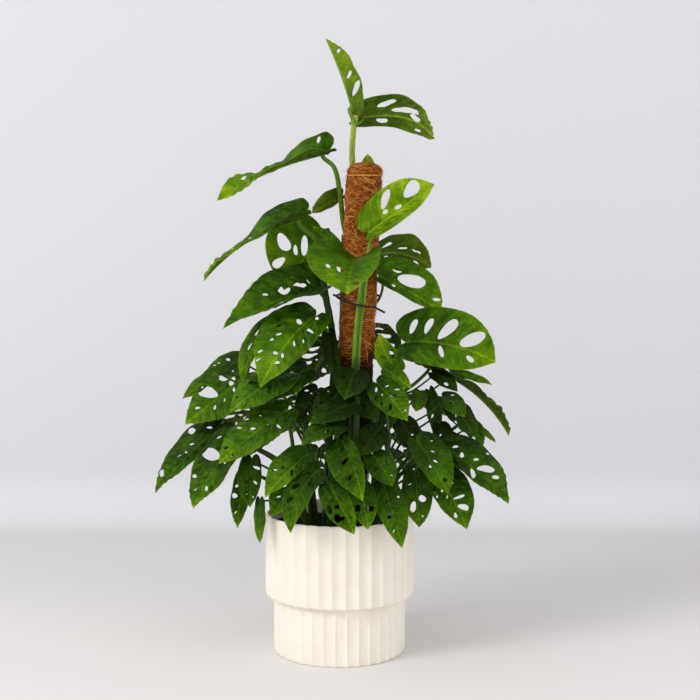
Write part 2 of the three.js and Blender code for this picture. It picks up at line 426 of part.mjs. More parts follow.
// ---- leaf surface ----
function readLeaf(row, turn) {
  const [name, stem, base, tip, face, halves, [arch, sway, belly], fold, roll, holes] = row;
  const from = vec(base);
  const to = vec(tip);
  const length = from.distanceTo(to);
  const along = to.clone().sub(from).divideScalar(length);
  const up = vec(face).addScaledVector(along, -vec(face).dot(along)).normalize();
  const right = along.clone().cross(up);
  const bow = up.clone().multiplyScalar(arch).addScaledVector(right, sway);
  const leaf = { name, stem, from, to, length, up, bow, sway, halves, belly };
  leaf.fold = three(fold);
  leaf.roll = three(roll);
  leaf.holes = holes.length || length < SMALL_BLADE ? holes : plainHoles(turn);
  return leaf;
}

function plainHoles(turn) {
  return PLAIN_HOLES.map(([u, v, length, width, angle], i) => {
    const size = 0.8 + 0.4 * fraction(Math.sin(turn * 12.9898 + i * 78.233) * 43758.5453);
    return [u, v, length * size, width * size, angle];
  });
}

// The midrib's point, and the blade's forward, normal and side directions there.
function ribFrame(leaf, u) {
  const span = leaf.to.clone().sub(leaf.from);
  const point = leaf.from.clone().addScaledVector(span, u).addScaledVector(leaf.bow, 4 * u * (1 - u));
  const forward = span.addScaledVector(leaf.bow, 4 * (1 - 2 * u)).normalize();
  const turn = radians(bend(leaf.roll, u));
  const level = leaf.up.clone().addScaledVector(forward, -leaf.up.dot(forward)).normalize();
  const across = forward.clone().cross(level);
  const normal = level.multiplyScalar(Math.cos(turn)).addScaledVector(across, Math.sin(turn));
  return { point, normal, side: forward.clone().cross(normal) };
}

// Where along the midrib the blade's share u lies; a belly widens the blade towards its tip.
function ribShare(leaf, u) {
  return u > 0 ? u + leaf.belly * u * (1 - u) : u;
}

// A point of the blade's middle surface; v runs from -1 on the left edge to 1 on the right.
function bladePoint(leaf, u, v) {
  const t = ribShare(leaf, u);
  const { point, normal, side } = ribFrame(leaf, t);
  const reach = Math.abs(v) * leaf.halves[v < 0 ? 0 : 1];
  const fold = radians(bend(leaf.fold, t));
  point.addScaledVector(side, Math.sign(v) * reach * Math.cos(fold));
  return point.addScaledVector(normal, reach * Math.sin(fold));
}

function bladeNormal(leaf, u, v) {
  if (v === 0) return ribFrame(leaf, ribShare(leaf, u)).normal;
  const step = 0.01;
  const along = bladePoint(leaf, u + step, v).sub(bladePoint(leaf, u - step, v));
  const across = bladePoint(leaf, u, v * 1.05).sub(bladePoint(leaf, u, v * 0.95));
  const normal = across.multiplyScalar(Math.sign(v)).cross(along);
  return normal.normalize();
}

function holeOutline(leaf, [u, v, length, width, angle]) {
  const sign = Math.sign(v);
  const half = leaf.halves[v < 0 ? 0 : 1];
  const cos = Math.cos(radians(angle));
  const sin = Math.sin(radians(angle));
  const points = [];
  const corners = length * leaf.length > LONG_HOLE ? 5 : 4;
  for (let i = 0; i < corners; i += 1) {
    const turn = (2 * Math.PI * i) / corners;
    const x = (length / 2) * leaf.length * Math.cos(turn);
    const y = (width / 2) * leaf.length * Math.sin(turn);
    points.push([u + (x * cos - y * sin) / leaf.length, v + (sign * (x * sin + y * cos)) / half]);
  }
  return points;
}

// A half's points laid out flat, with the midrib's sway, so that no triangle folds over another.
function layFlat(leaf, loop) {
  return loop.map(([u, v]) => {
    const t = ribShare(leaf, u);
    const reach = v * leaf.halves[v < 0 ? 0 : 1] * Math.cos(radians(bend(leaf.fold, t)));
    return new THREE.Vector2(t * leaf.length, reach + leaf.sway * 4 * t * (1 - t));
  });
}

// The outlines that one half of a blade is triangulated in.
function halfOutlines(leaf, sign) {
  const edge = EDGE.map(([u, v]) => [u, sign * v]);
  const cuts = CROSS_CUTS[leaf.name];
  if (!cuts) return [[[0, 0], ...edge, [1, 0], ...[...RIB_STEPS].reverse().map((u) => [u, 0])]];
  const ends = [0, ...cuts, EDGE.length - 1];
  return ends.slice(1).map((end, i) => {
    const from = i ? [edge[ends[i]][0], 0] : [0, 0];
    const to = i < cuts.length ? [edge[end][0], 0] : [1, 0];
    return [from, ...edge.slice(ends[i], end + 1), to];
  });
}

// The blade as a closed solid: each half is triangulated once, and both faces use those triangles.
function bladeSolid(leaf) {
  const corners = new Map();
  const spots = [];
  const spot = ([u, v]) => {
    const key = `${u.toFixed(5)},${v.toFixed(5)}`;
    if (!corners.has(key)) {
      corners.set(key, spots.length);
      spots.push([u, v]);
    }
    return corners.get(key);
  };
  const triangles = [];
  for (const sign of [-1, 1]) {
    const wanted = leaf.holes.filter(([, v, size]) => v * sign > 0 && size * leaf.length > SMALL_HOLE);
    const outlines = halfOutlines(leaf, sign);
    outlines.forEach((outline, part) => {
      const start = part ? outline[0][0] : -1;
      const end = part < outlines.length - 1 ? outline[outline.length - 1][0] : 1;
      const holes = wanted.filter(([u]) => u > start && u < end).map((hole) => holeOutline(leaf, hole));
      const all = [outline, ...holes].flat();
      const flat = layFlat(leaf, all);
      const cuts = holes.map((hole) => layFlat(leaf, hole));
      for (const face of THREE.ShapeUtils.triangulateShape(layFlat(leaf, outline), cuts)) {
        const [a, b, c] = face.map((i) => flat[i]);
        const area = b.clone().sub(a).cross(c.clone().sub(a));
        const [i, j, k] = face.map((corner) => spot(all[corner]));
        triangles.push(area < 0 ? [i, j, k] : [i, k, j]);
      }
    });
  }
  const count = spots.length;
  const positions = [];
  for (const shift of [BLADE_THICKNESS / 2, -BLADE_THICKNESS / 2]) {
    for (const [u, v] of spots) {
      positions.push(...bladePoint(leaf, u, v).addScaledVector(bladeNormal(leaf, u, v), shift));
    }
  }
  const edges = new Set(triangles.flatMap(([a, b, c]) => [`${a} ${b}`, `${b} ${c}`, `${c} ${a}`]));
  const index = [];
  for (const [a, b, c] of triangles) {
    index.push(a, b, c, a + count, c + count, b + count);
    for (const [from, to] of [[a, b], [b, c], [c, a]]) {
      if (!edges.has(`${to} ${from}`)) index.push(to, from, from + count, to, from + count, to + count);
    }
  }
  const geometry = new THREE.BufferGeometry();
  geometry.setAttribute("position", new THREE.Float32BufferAttribute(positions, 3));
  geometry.setIndex(index);
  return toSolid(geometry);
}

// ---- petioles and stems ----
const stemCurve = (name) => new THREE.CatmullRomCurve3(STEMS[name].route.map(vec));

// The point of a stem nearest to a height.
function stemAt(name, height) {
  const points = stemCurve(name).getPoints(60);
  return points.reduce((best, p) => (Math.abs(p.z - height) < Math.abs(best.z - height) ? p : best));
}

function petioleRoute(leaf) {
  const seat = ribFrame(leaf, PETIOLE_SEAT);
  const base = seat.point;
  const beside = (distance) => base.clone().addScaledVector(seat.normal, distance);
  const given = PETIOLE_ROUTES[leaf.name];
  if (given) return [...given.map(vec), beside(-PETIOLE_DROP), base];
  const route = STEMS[leaf.stem].route;
  const top = route[route.length - 1][2];
  const reach = Math.hypot(base.x - route[1][0], base.y - route[1][1]);
  const height = THREE.MathUtils.clamp(base.z - 0.8 * reach - 10, SOIL_TOP + 12, top - 4);
  const root = stemAt(leaf.stem, height);
  const span = root.distanceTo(base);
  const rise = root.clone().addScaledVector(new THREE.Vector3(0, 0, 1), 0.42 * span).lerp(base, 0.1);
  // the petiole meets the face that its stem is on
  const side = root.clone().sub(base).dot(seat.normal) > 0 ? 1 : -1;
  const under = beside(side * PETIOLE_DROP);
  const arrive = beside(side * (PETIOLE_DROP + 0.2 * span));
  const curve = new THREE.CubicBezierCurve3(root, rise, arrive, under);
  return [root, curve.getPoint(0.33), curve.getPoint(0.66), under, base];
}

function shootSolid(name, leaves) {
  const { radius } = STEMS[name];
  const solids = [toSolid(tube(stemCurve(name).getPoints(12), radius, STEM_SIDES, STEM_STEPS))];
  for (const leaf of leaves) {
    solids.push(bladeSolid(leaf));
    const thickness = STOUT_PETIOLES[leaf.name] ?? PETIOLE_RADIUS + PETIOLE_GROWTH * leaf.length;
    solids.push(toSolid(tube(petioleRoute(leaf), thickness, PETIOLE_SIDES, PETIOLE_STEPS)));
  }
  const bodies = wasm.Manifold.union(solids).decompose();
  const shoot = bodies.reduce((best, body) => (body.volume() > best.volume() ? body : best));
  return shoot.simplify(SMALLEST_STEP);
}

// ---- the scene ----
const group = new THREE.Group();

function addMesh(name, solid, color, roughness) {
  const material = new THREE.MeshStandardMaterial({ color, roughness, metalness: 0 });
  const mesh = new THREE.Mesh(toGeometry(solid), material);
  mesh.name = name;
  group.add(mesh);
}

const leaves = LEAVES.map(readLeaf);
let soil = soilSolid();
const poleHole = toSolid(reshape(turned([[0, SLEEVE_BOTTOM - GAP], [SLEEVE_RADIUS + 1, SLEEVE_BOTTOM - GAP],
  [SLEEVE_RADIUS + 1, SOIL_TOP + 20], [0, SOIL_TOP + 20]], 20), lean));
soil = soil.subtract(poleHole).subtract(stakeSolid(GAP));
for (const name of Object.keys(STEMS)) {
  const foot = stemCurve(name).getPoints(60).filter((point) => point.z < SOIL_TOP + 16);
  const below = foot[0].clone().addScaledVector(foot[1].clone().sub(foot[0]).normalize(), -1);
  const around = STEMS[name].radius / Math.cos(Math.PI / STEM_SIDES) + GAP;
  soil = soil.subtract(toSolid(tube([below, ...foot], around, STEM_SIDES, 1)));
}

addMesh("pot", potSolid(), 0xe9e6dc, 0.45);
addMesh("soil", soil, 0x2e2019, 0.95);
addMesh("pole_stake", stakeSolid(), 0x6d5138, 0.7);
addMesh("pole_coir", sleeveSolid(), 0x9a5a2b, 0.95);
addMesh("pole_twine", twineSolid(), 0xa9703f, 0.9);
addMesh("plant_tie", tieSolid(), 0x17181a, 0.5);
for (const name of Object.keys(STEMS)) {
  addMesh(`shoot_${name}`, shootSolid(name, leaves.filter((leaf) => leaf.stem === name)), 0x3f7a26, 0.4);
}

export default group;
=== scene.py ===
# A young monstera adansonii on a coir pole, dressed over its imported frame.
# Rows, routes and sizes are in millimetres; meshes are built in metres, as the frame is.
import math
import random

import bpy
import numpy as np
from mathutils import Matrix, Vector
from mathutils.geometry import delaunay_2d_cdt


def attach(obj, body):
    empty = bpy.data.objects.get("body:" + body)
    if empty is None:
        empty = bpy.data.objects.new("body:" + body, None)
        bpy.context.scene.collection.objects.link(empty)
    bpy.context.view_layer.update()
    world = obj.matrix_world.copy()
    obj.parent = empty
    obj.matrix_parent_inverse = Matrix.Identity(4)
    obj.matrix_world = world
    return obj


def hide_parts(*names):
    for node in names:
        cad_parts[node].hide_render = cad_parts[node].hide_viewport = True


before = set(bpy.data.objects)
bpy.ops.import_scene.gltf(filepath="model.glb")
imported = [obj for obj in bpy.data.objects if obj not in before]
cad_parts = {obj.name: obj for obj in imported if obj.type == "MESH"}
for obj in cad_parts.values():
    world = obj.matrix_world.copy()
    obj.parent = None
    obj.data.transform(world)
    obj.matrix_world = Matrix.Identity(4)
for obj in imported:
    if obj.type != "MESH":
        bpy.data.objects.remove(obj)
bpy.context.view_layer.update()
MM = 0.001

# ---- leaves ----
# The half outline of a blade: share of its length, share of its half width.
EDGE = [
    (0, 0), (-0.055, 0.15), (-0.08, 0.4), (-0.03, 0.68), (0.09, 0.88), (0.24, 0.985),
    (0.41, 1), (0.57, 0.91), (0.72, 0.71), (0.85, 0.42), (0.945, 0.15), (1, 0),
]
# Each row: name, stem, base, tip, way the upper face looks, half widths [left, right],
# [arch, sway, belly], holes, fold in degrees, roll in degrees. What isn't given at a row's end is none.
# Fold and roll are one value, or those at base, middle and tip.
# A hole is [along, across, length, width, angle]. Across is a share of the half width, negative on
# the left half. Lengths are shares of the blade's length.
LEAVES = [
    ["A", "tall", [18, -8, 721], [-17, 0, 816], [0.7, 0.65, 0.3], [21, 20], [0, -3, 0.1],
     [[0.24, -0.55, 0.195, 0.076, 39], [0.43, -0.4, 0.101, 0.051, 47], [0.77, -0.3, 0.065, 0.041, 50]],
     45],
    ["B", "tall", [25, 7, 713], [122, -36, 685], [0.1, 0.75, 0.65], [20, 34], [24, 0, 0.85],
     [[0.18, 0.51, 0.184, 0.057, 43], [0.37, 0.37, 0.363, 0.069, 17], [0.14, -0.44, 0.082, 0.073, 9],
     [0.46, 0.18, 0.143, 0.084, -9], [0.5, -0.55, 0.089, 0.048, -14]]],
    ["C", "tall", [39, 34, 637], [38, 34, 668], [0, -1, 0.2], [9, 9], [0, 0, 0.3]],
    ["D", "tall", [-17, -12, 666], [-159, -30, 603], [0, -0.5, 0.86], [20, 34], [10, 0, 0.1],
     [[0.03, 0.5, 0.044, 0.023, -56], [0.66, -0.41, 0.139, 0.069, -25], [0.69, 0.36, 0.08, 0.045, -30]],
     [50, 0, 0], [-5, 30, -70]],
    ["E", "tall", [4, 20, 612], [-37, 5, 588], [-0.3, 0.8, 0.5], [18, 8], [0, 0, 0.2]],
    ["F", "left", [-49, -20, 580], [-177, -40, 500], [0, -0.25, 0.97], [15, 34], [14, 0, 0],
     [[0.31, -0.49, 0.079, 0.016, 78], [0.47, 0.31, 0.122, 0.081, 82], [0.65, 0.39, 0.153, 0.052, -89]],
     [62, -4, 8], [0, 4, 0]],
    ["G", "left", [-23, 25, 565], [-75, 20, 485], [0.1, -1, 0.1], [16, 60], [0, 0, 0.1],
     [[0.41, 0.59, 0.265, 0.166, -62], [0.69, 0.43, 0.209, 0.123, 23], [0.29, 0.16, 0.288, 0.094, -31],
     [0.41, 0.27, 0.153, 0.056, -39]]],
    ["H", "left", [-21, -5, 488], [-152, -40, 438], [-0.1, -0.55, 0.85], [44, 45], [8, 0, -0.35],
     [[0.44, 0.2, 0.12, 0.06, 10], [0.27, 0.22, 0.14, 0.04, 10], [0.33, 0.55, 0.08, 0.04, 20],
     [0.35, -0.45, 0.15, 0.06, 30], [0.55, -0.4, 0.13, 0.05, 30]], 28],
    ["I", "front", [23, -42, 527], [11, -108, 484], [-0.1, -0.5, 0.86], [42, 60], [10, 0, 0.3],
     [[0.51, 0.23, 0.145, 0.106, -65], [0.8, -0.25, 0.109, 0.06, 71], [0.51, 0.5, 0.097, 0.055, -60]],
     [32, 24, 10]],
    ["I2", "left", [-2, -8, 539], [-35, 5, 571], [0, -1, 0.3], [14, 12], [0, 0, 0]],
    ["VF", "left", [-14, -14, 432], [2, -34, 364], [0.1, -0.9, 0.4], [10, 12], [4, 3, 0],
     [[0.77, 0.28, 0.096, 0.056, -3]], 4],
    ["J", "front", [39, -34, 562], [123, -45, 624], [0, -1, 0.15], [35, 14], [0, 0, 0.4],
     [[0.32, -0.62, 0.226, 0.094, 41], [0.65, -0.34, 0.275, 0.162, 14], [0.38, -0.11, 0.093, 0.046, -8],
     [0.24, -0.25, 0.061, 0.049, 6]], 5],
    ["K", "tall", [49, 34, 532], [126, 55, 515], [0.1, 0.75, 0.6], [32, 36], [16, 0, 0.3],
     [[0.12, 0.35, 0.16, 0.05, 45], [0.38, 0.27, 0.15, 0.05, 15], [0.62, 0.3, 0.17, 0.05, 0],
     [0.7, -0.25, 0.11, 0.06, 20], [0.18, -0.25, 0.08, 0.06, 30]]],
    ["L", "tall", [52, -20, 504], [135, -14, 457], [0.1, -0.9, 0.4], [41, 10], [2, -2, 0.35],
     [[0.36, -0.38, 0.376, 0.187, 28], [0.15, -0.45, 0.116, 0.056, 32], [0.18, 0.34, 0.053, 0.041, -16],
     [0.79, -0.25, 0.139, 0.045, 21]]],
    ["M", "right", [87, -26, 418], [204, -46, 393], [0, -1, 0.3], [48, 33], [10, -7, 0.3],
     [[0.07, -0.41, 0.167, 0.05, 75], [0.19, -0.44, 0.188, 0.052, 73], [0.36, -0.42, 0.285, 0.097, 58],
     [0.62, -0.3, 0.289, 0.136, 39], [0.34, 0.34, 0.138, 0.051, 67], [0.67, 0.32, 0.107, 0.058, 17]], 8],
    ["N", "right", [79, -16, 380], [54, -10, 429], [0.2, -0.9, 0.3], [16, 16], [0, -6, 0],
     [[0.42, 0.5, 0.26, 0.12, 15], [0.45, -0.35, 0.14, 0.06, 50]]],
    ["O", "right", [61, -24, 383], [95, -34, 358], [0, -1, 0.3], [12, 12], [0, 0, 0]],
    ["P", "left", [-30, -34, 454], [-101, -76, 363], [-0.2, -0.9, 0.5], [29, 46], [18, 0, 0],
     [[0.06, -0.2, 0.083, 0.057, 28], [0.2, 0.16, 0.073, 0.048, -75], [0.53, 0.45, 0.065, 0.035, 62],
     [0.63, 0.1, 0.055, 0.033, 65], [0.71, -0.16, 0.058, 0.052, -51], [0.24, -0.5, 0.073, 0.067, -73]]],
    ["Q", "left", [-65, -14, 449], [-125, -36, 361], [-0.3, -0.8, 0.5], [12, 20], [8, 17, 0],
     [[0.36, 0.4, 0.13, 0.03, 10], [0.55, 0.3, 0.1, 0.03, 10]]],
    ["R", "left", [-130, 40, 388], [-183, 50, 375], [0, -0.75, 0.6], [18, 20], [0, 0, 0.1],
     [[0.4, 0.4, 0.14, 0.07, 40], [0.45, -0.4, 0.14, 0.07, 40]]],
    ["S", "upleft", [-162, 0, 380], [-209, -14, 342], [-0.2, -0.6, 0.7], [13, 13], [0, 0, 0],
     [[0.52, -0.47, 0.148, 0.056, -87]]],
    ["T", "upleft", [-120, -14, 377], [-202, -44, 312], [-0.2, -0.85, 0.5], [34, 34], [0, 0, -0.1],
     [[0.56, 0.41, 0.259, 0.14, 57], [0.29, 0.54, 0.119, 0.11, 79], [0.24, 0.16, 0.124, 0.063, -24]]],
    ["U", "lowleft", [-157, -22, 309], [-240, -58, 224], [-0.4, -0.8, 0.5], [14, 31], [4, 0, 0],
     [[0.26, 0.73, 0.095, 0.075, -90], [0.8, 0.37, 0.095, 0.046, -42], [0.47, 0.21, 0.036, 0.024, 67]]],
    ["V", "lowleft", [-133, -46, 301], [-188, -82, 208], [-0.4, -0.85, 0.4], [22, 32], [4, 0, 0.2],
     [[0.32, 0.47, 0.237, 0.135, 83], [0.62, 0.66, 0.061, 0.046, 77], [0.69, -0.27, 0.08, 0.049, 62]]],
    ["W", "lowleft", [-66, -75, 335], [-151, -110, 271], [-0.2, -0.7, 0.7], [26, 30], [4, 0, 0.2],
     [[0.41, 0.23, 0.108, 0.049, 64], [0.2, -0.58, 0.131, 0.031, 84], [0.23, 0.46, 0.089, 0.037, 71],
     [0.38, 0.82, 0.065, 0.053, 57], [0.26, -0.28, 0.105, 0.031, -89]]],
    ["X", "upleft", [-65, -50, 380], [-140, -88, 333], [-0.3, -0.7, 0.6], [28, 30], [6, 0, 0],
     [[0.25, 0.4, 0.12, 0.06, 50], [0.5, 0.4, 0.14, 0.06, 40], [0.4, -0.42, 0.14, 0.06, 40]]],
    ["Y", "lowleft", [-123, -30, 249], [-134, -45, 174], [-0.3, -1, 0.2], [13, 14], [0, 2, 0],
     [[0.46, 0.56, 0.106, 0.081, 85]]],
    ["Y2", "lowleft", [-114, -50, 268], [-116, -62, 205], [-0.1, -1, 0.3], [15, 17], [4, 0, 0],
     [[0.2, -0.52, 0.167, 0.057, 71], [0.49, 0.33, 0.101, 0.06, -33]], 10],
    ["Y3", "lowleft", [-103, -60, 215], [-103, -68, 159], [-0.6, -1, 0.2], [9, 9], [0, 0, 0]],
    ["Z", "frontleft", [-39, -95, 280], [-93, -118, 229], [-0.2, -0.8, 0.5], [13, 26], [6, 0, 0],
     [[0.45, 0.29, 0.077, 0.049, 45], [0.42, -0.4, 0.1, 0.05, 45]]],
    ["AA", "frontleft", [-27, -108, 262], [-60, -130, 186], [-0.2, -0.9, 0.4], [16, 20], [6, 8, 0],
     [[0.35, 0.45, 0.13, 0.07, 40], [0.55, 0.42, 0.12, 0.06, 40]]],
    ["RR", "frontleft", [-47, -80, 255], [-86, -104, 202], [-0.2, -0.9, 0.4], [20, 24], [0, 0, 0],
     [[0.4, 0.42, 0.14, 0.07, 40], [0.4, -0.45, 0.14, 0.07, 40]]],
    ["BB", "frontmid", [5, -110, 300], [30, -142, 229], [0.1, -0.9, 0.4], [12, 30], [6, -2, 0],
     [[0.35, 0.3, 0.14, 0.06, 60], [0.62, 0.3, 0.14, 0.06, 60]]],
    ["CC", "frontmid", [-12, -112, 244], [20, -138, 186], [0.1, -0.9, 0.4], [15, 21], [4, 0, 0.1],
     [[0.4, 0.71, 0.177, 0.088, 8], [0.41, 0.23, 0.097, 0.085, -69], [0.6, 0.52, 0.166, 0.117, 17],
     [0.64, 0.25, 0.115, 0.068, 70]]],
    ["DD", "frontmid", [27, -100, 243], [37, -124, 189], [0.1, -0.9, 0.4], [17, 20], [4, 0, 0],
     [[0.52, 0.46, 0.172, 0.126, 21], [0.58, -0.38, 0.175, 0.12, 73]]],
    ["EE", "lowright", [56, -90, 243], [80, -118, 164], [0.1, -0.9, 0.4], [20, 18], [6, 0, 0],
     [[0.51, 0.29, 0.103, 0.058, 37]]],
    ["FF", "lowright", [99, -52, 250], [104, -68, 180], [0.2, -1, 0.3], [20, 20], [4, 0, 0.1],
     [[0.46, -0.3, 0.137, 0.126, 34], [0.6, 0.34, 0.201, 0.111, 14]]],
    ["GG", "lowright", [125, -35, 250], [167, -60, 176], [0.2, -0.9, 0.4], [32, 21], [6, 0, 0.1],
     [[0.67, -0.26, 0.17, 0.092, 50], [0.51, -0.3, 0.18, 0.043, 83], [0.32, 0.8, 0.12, 0.058, 13],
     [0.72, 0.34, 0.09, 0.047, 17]]],
    ["HH", "lowright", [100, -62, 293], [140, -86, 227], [0.2, -0.85, 0.5], [30, 18], [6, 0, 0],
     [[0.78, -0.14, 0.078, 0.069, 8]]],
    ["II", "lowright", [135, -30, 283], [221, -64, 211], [0.3, -0.75, 0.55], [38, 16], [6, 0, 0.15],
     [[0.52, -0.32, 0.202, 0.09, 47], [0.45, 0.46, 0.127, 0.056, 47], [0.66, -0.34, 0.1, 0.051, 52],
     [0.23, -0.12, 0.058, 0.043, -54], [0.41, -0.86, 0.048, 0.036, 70]]],
    ["JJ", "lowright", [164, 10, 312], [193, 10, 271], [0.2, -0.6, 0.8], [18, 15], [8, 0, 0],
     [[0.32, 0.27, 0.111, 0.092, -66], [0.58, 0.62, 0.135, 0.083, -54]]],
    ["JS", "lowright", [179, 9, 306], [212, 14, 279], [0.2, -0.8, 0.5], [5, 5], [3, 0, 0]],
    ["KK", "lowright", [136, -20, 346], [165, -34, 320], [0.2, -0.7, 0.7], [17, 17], [6, 0, 0],
     [[0.4, 0.24, 0.13, 0.109, -84]]],
    ["WA", "lowright", [145, -4, 334], [182, -12, 289], [0.2, -0.7, 0.7], [20, 18], [5, 0, 0],
     [[0.38, -0.22, 0.112, 0.102, 50], [0.44, 0.74, 0.09, 0.076, -58]], 4],
    ["WB", "lowright", [134, -10, 308], [143, -26, 272], [0.1, -0.85, 0.5], [13, 14], [5, 0, 0],
     [[0.45, 0.29, 0.166, 0.106, -12]], 4],
    ["WC", "right", [125, 10, 375], [159, 6, 349], [0.2, -0.7, 0.7], [13, 14], [4, 0, 0],
     [[0.56, 0.39, 0.161, 0.127, -28]], 4],
    ["WD", "lowright", [83, -30, 316], [98, -46, 275], [0.1, -0.85, 0.5], [17, 17], [5, 0, 0],
     [[0.49, -0.22, 0.134, 0.085, 41]], 4],
    ["LL", "right", [117, 20, 383], [235, 50, 284], [0.5, 0.15, 0.85], [22, 24], [15, 0, 0],
     [[0.32, 0.5, 0.08, 0.04, 30], [0.56, 0.45, 0.08, 0.04, 30]], 8],
    ["LS", "right", [153, 35, 373], [209, 40, 355], [0.3, -0.8, 0.5], [7, 6], [4, 0, 0]],
    ["MM", "right", [122, 30, 348], [134, 40, 279], [0.5, -0.8, 0.2], [11, 14], [0, -4, 0],
     [[0.5, 0.4, 0.1, 0.05, 40]]],
    ["NN", "lowright", [48, -70, 369], [87, -98, 323], [0.1, -0.85, 0.5], [22, 22], [5, 0, 0],
     [[0.15, 0.3, 0.13, 0.06, 55], [0.2, -0.4, 0.12, 0.05, 70], [0.45, -0.25, 0.13, 0.07, 60],
     [0.6, 0.35, 0.16, 0.07, 50]]],
    ["OO", "right", [106, -40, 355], [100, -50, 329], [0.2, -0.9, 0.4], [11, 11], [2, 0, 0.2]],
    ["PP", "frontmid", [22, -60, 383], [7, -90, 349], [0, -0.7, 0.6], [23, 23], [6, 0, 0],
     [[0.35, 0.45, 0.14, 0.07, 40], [0.4, -0.45, 0.14, 0.07, 40]]],
    ["VA", "frontmid", [17, -48, 360], [48, -58, 319], [0.1, -0.85, 0.5], [20, 22], [6, 0, 0],
     [[0.53, 0.15, 0.119, 0.078, 8]], 4],
    ["VB", "frontmid", [-1, -50, 355], [-30, -62, 309], [-0.1, -0.85, 0.5], [22, 20], [6, 0, 0],
     [[0.52, -0.15, 0.107, 0.071, 3]], 4],
    ["VC", "lowright", [58, -36, 343], [73, -42, 312], [0.2, -0.85, 0.5], [15, 14], [5, 0, 0], [], 4],
    ["VD", "lowright", [53, -78, 311], [27, -96, 278], [0, -0.85, 0.5], [18, 18], [5, 0, 0], [], 4],
    ["VE", "upleft", [-28, -34, 358], [-53, -52, 313], [-0.1, -0.85, 0.5], [20, 18], [5, 0, 0], [], 4],
    ["QQ", "frontleft", [8, -102, 319], [-47, -126, 296], [-0.1, -0.5, 0.8], [18, 20], [8, 0, 0],
     [[0.4, 0.45, 0.13, 0.07, 40], [0.45, -0.42, 0.13, 0.07, 40]]],
    ["SS", "frontleft", [20, -85, 344], [-36, -110, 320], [-0.1, -0.6, 0.8], [20, 20], [4, 0, 0],
     [[0.4, 0.45, 0.13, 0.07, 40], [0.45, -0.42, 0.13, 0.07, 40]]],
    ["TT", "upleft", [-43, -30, 384], [-103, -56, 342], [-0.2, -0.7, 0.7], [26, 24], [4, 0, 0],
     [[0.4, 0.45, 0.13, 0.07, 40], [0.45, -0.42, 0.13, 0.07, 40]]],
    ["UU", "frontmid", [43, -90, 280], [68, -108, 241], [0.2, -0.8, 0.5], [20, 20], [4, 0, 0],
     [[0.42, 0.45, 0.15, 0.08, 40], [0.42, -0.45, 0.15, 0.08, 40]]],
    ["BA", "back", [29, 62, 586], [32, 146, 566], [0, 0.3, 0.95], [22, 22], [8, 0, 0.2], [], 10],
    ["BD", "back", [24, 62, 488], [27, 158, 450], [0, 0.4, 0.9], [22, 22], [8, 0, 0.1], [], 8],
    ["BF", "back", [30, 62, 430], [70, 140, 370], [0.1, 0.6, 0.8], [38, 38], [8, 0, 0.1], [], 6],
    ["BG", "back", [-10, 66, 410], [-44, 146, 345], [-0.1, 0.6, 0.8], [40, 38], [8, 0, 0.1], [], 6],
    ["BH", "backleft", [-84, 40, 330], [-176, 84, 276], [-0.5, 0.5, 0.7], [36, 38], [8, 0, 0.1], [], 4],
    ["BI", "backleft", [-70, 70, 310], [-134, 140, 240], [-0.4, 0.7, 0.6], [36, 36], [8, 0, 0.1], [], 4],
    ["BJ", "backleft", [-36, 86, 330], [-72, 168, 270], [-0.2, 0.8, 0.6], [36, 34], [8, 0, 0.1], [], 4],
    ["BL", "backleft", [-30, 100, 260], [-44, 160, 184], [-0.1, 0.9, 0.5], [34, 34], [6, 0, 0.1], [], 4],
    ["BM", "backright", [76, 60, 340], [160, 110, 300], [0.5, 0.5, 0.7], [36, 36], [8, 0, 0.1], [], 4],
    ["BN", "backright", [60, 80, 300], [120, 150, 236], [0.4, 0.7, 0.6], [34, 36], [8, 0, 0.1], [], 4],
    ["BO", "backright", [20, 92, 330], [34, 176, 268], [0.1, 0.8, 0.6], [34, 36], [8, 0, 0.1], [], 4],
    ["BP", "backright", [88, 56, 260], [136, 100, 186], [0.5, 0.7, 0.5], [32, 32], [6, 0, 0.1], [], 4],
]
# For a blade at least LONG_BLADE long that has no holes of its own; their sizes vary a little.
PLAIN_HOLES = [
    (0.18, 0.46, 0.14, 0.07, 55), (0.36, 0.46, 0.21, 0.085, 48), (0.55, 0.42, 0.17, 0.08, 38),
    (0.71, 0.34, 0.1, 0.06, 30), (0.24, -0.45, 0.16, 0.075, 52), (0.42, -0.45, 0.2, 0.08, 45),
    (0.61, -0.38, 0.14, 0.065, 32), (0.3, 0.13, 0.06, 0.03, 15), (0.5, -0.12, 0.05, 0.03, 15),
]
LONG_BLADE = 60
# Slits are small holes strewn over the blades, except on these stems and leaves.
UNSLIT_STEMS = ("tall", "front", "right", "back", "backleft", "backright")
UNSLIT_LEAVES = ("F", "G")
SLIT_BLADE = 36  # the longest blade without slits
LONGEST_SLIT = 7.5
SLIT_TRIES = {"frontleft": 9, "frontmid": 9}
USUAL_TRIES = 12
# They lie in two rows on each half: share of the half width, and share of the blade's length.
INNER_ROW = [(0.16, 0.34), (0.05, 0.1)]
OUTER_ROW = [(0.45, 0.72), (0.08, 0.15)]
INNER_SHARE = 0.6
# The skin left between a slit and the midrib, the edge or another hole.
RIB_CLEAR, EDGE_CLEAR, HOLE_CLEAR = 1.2, 2, 1.6
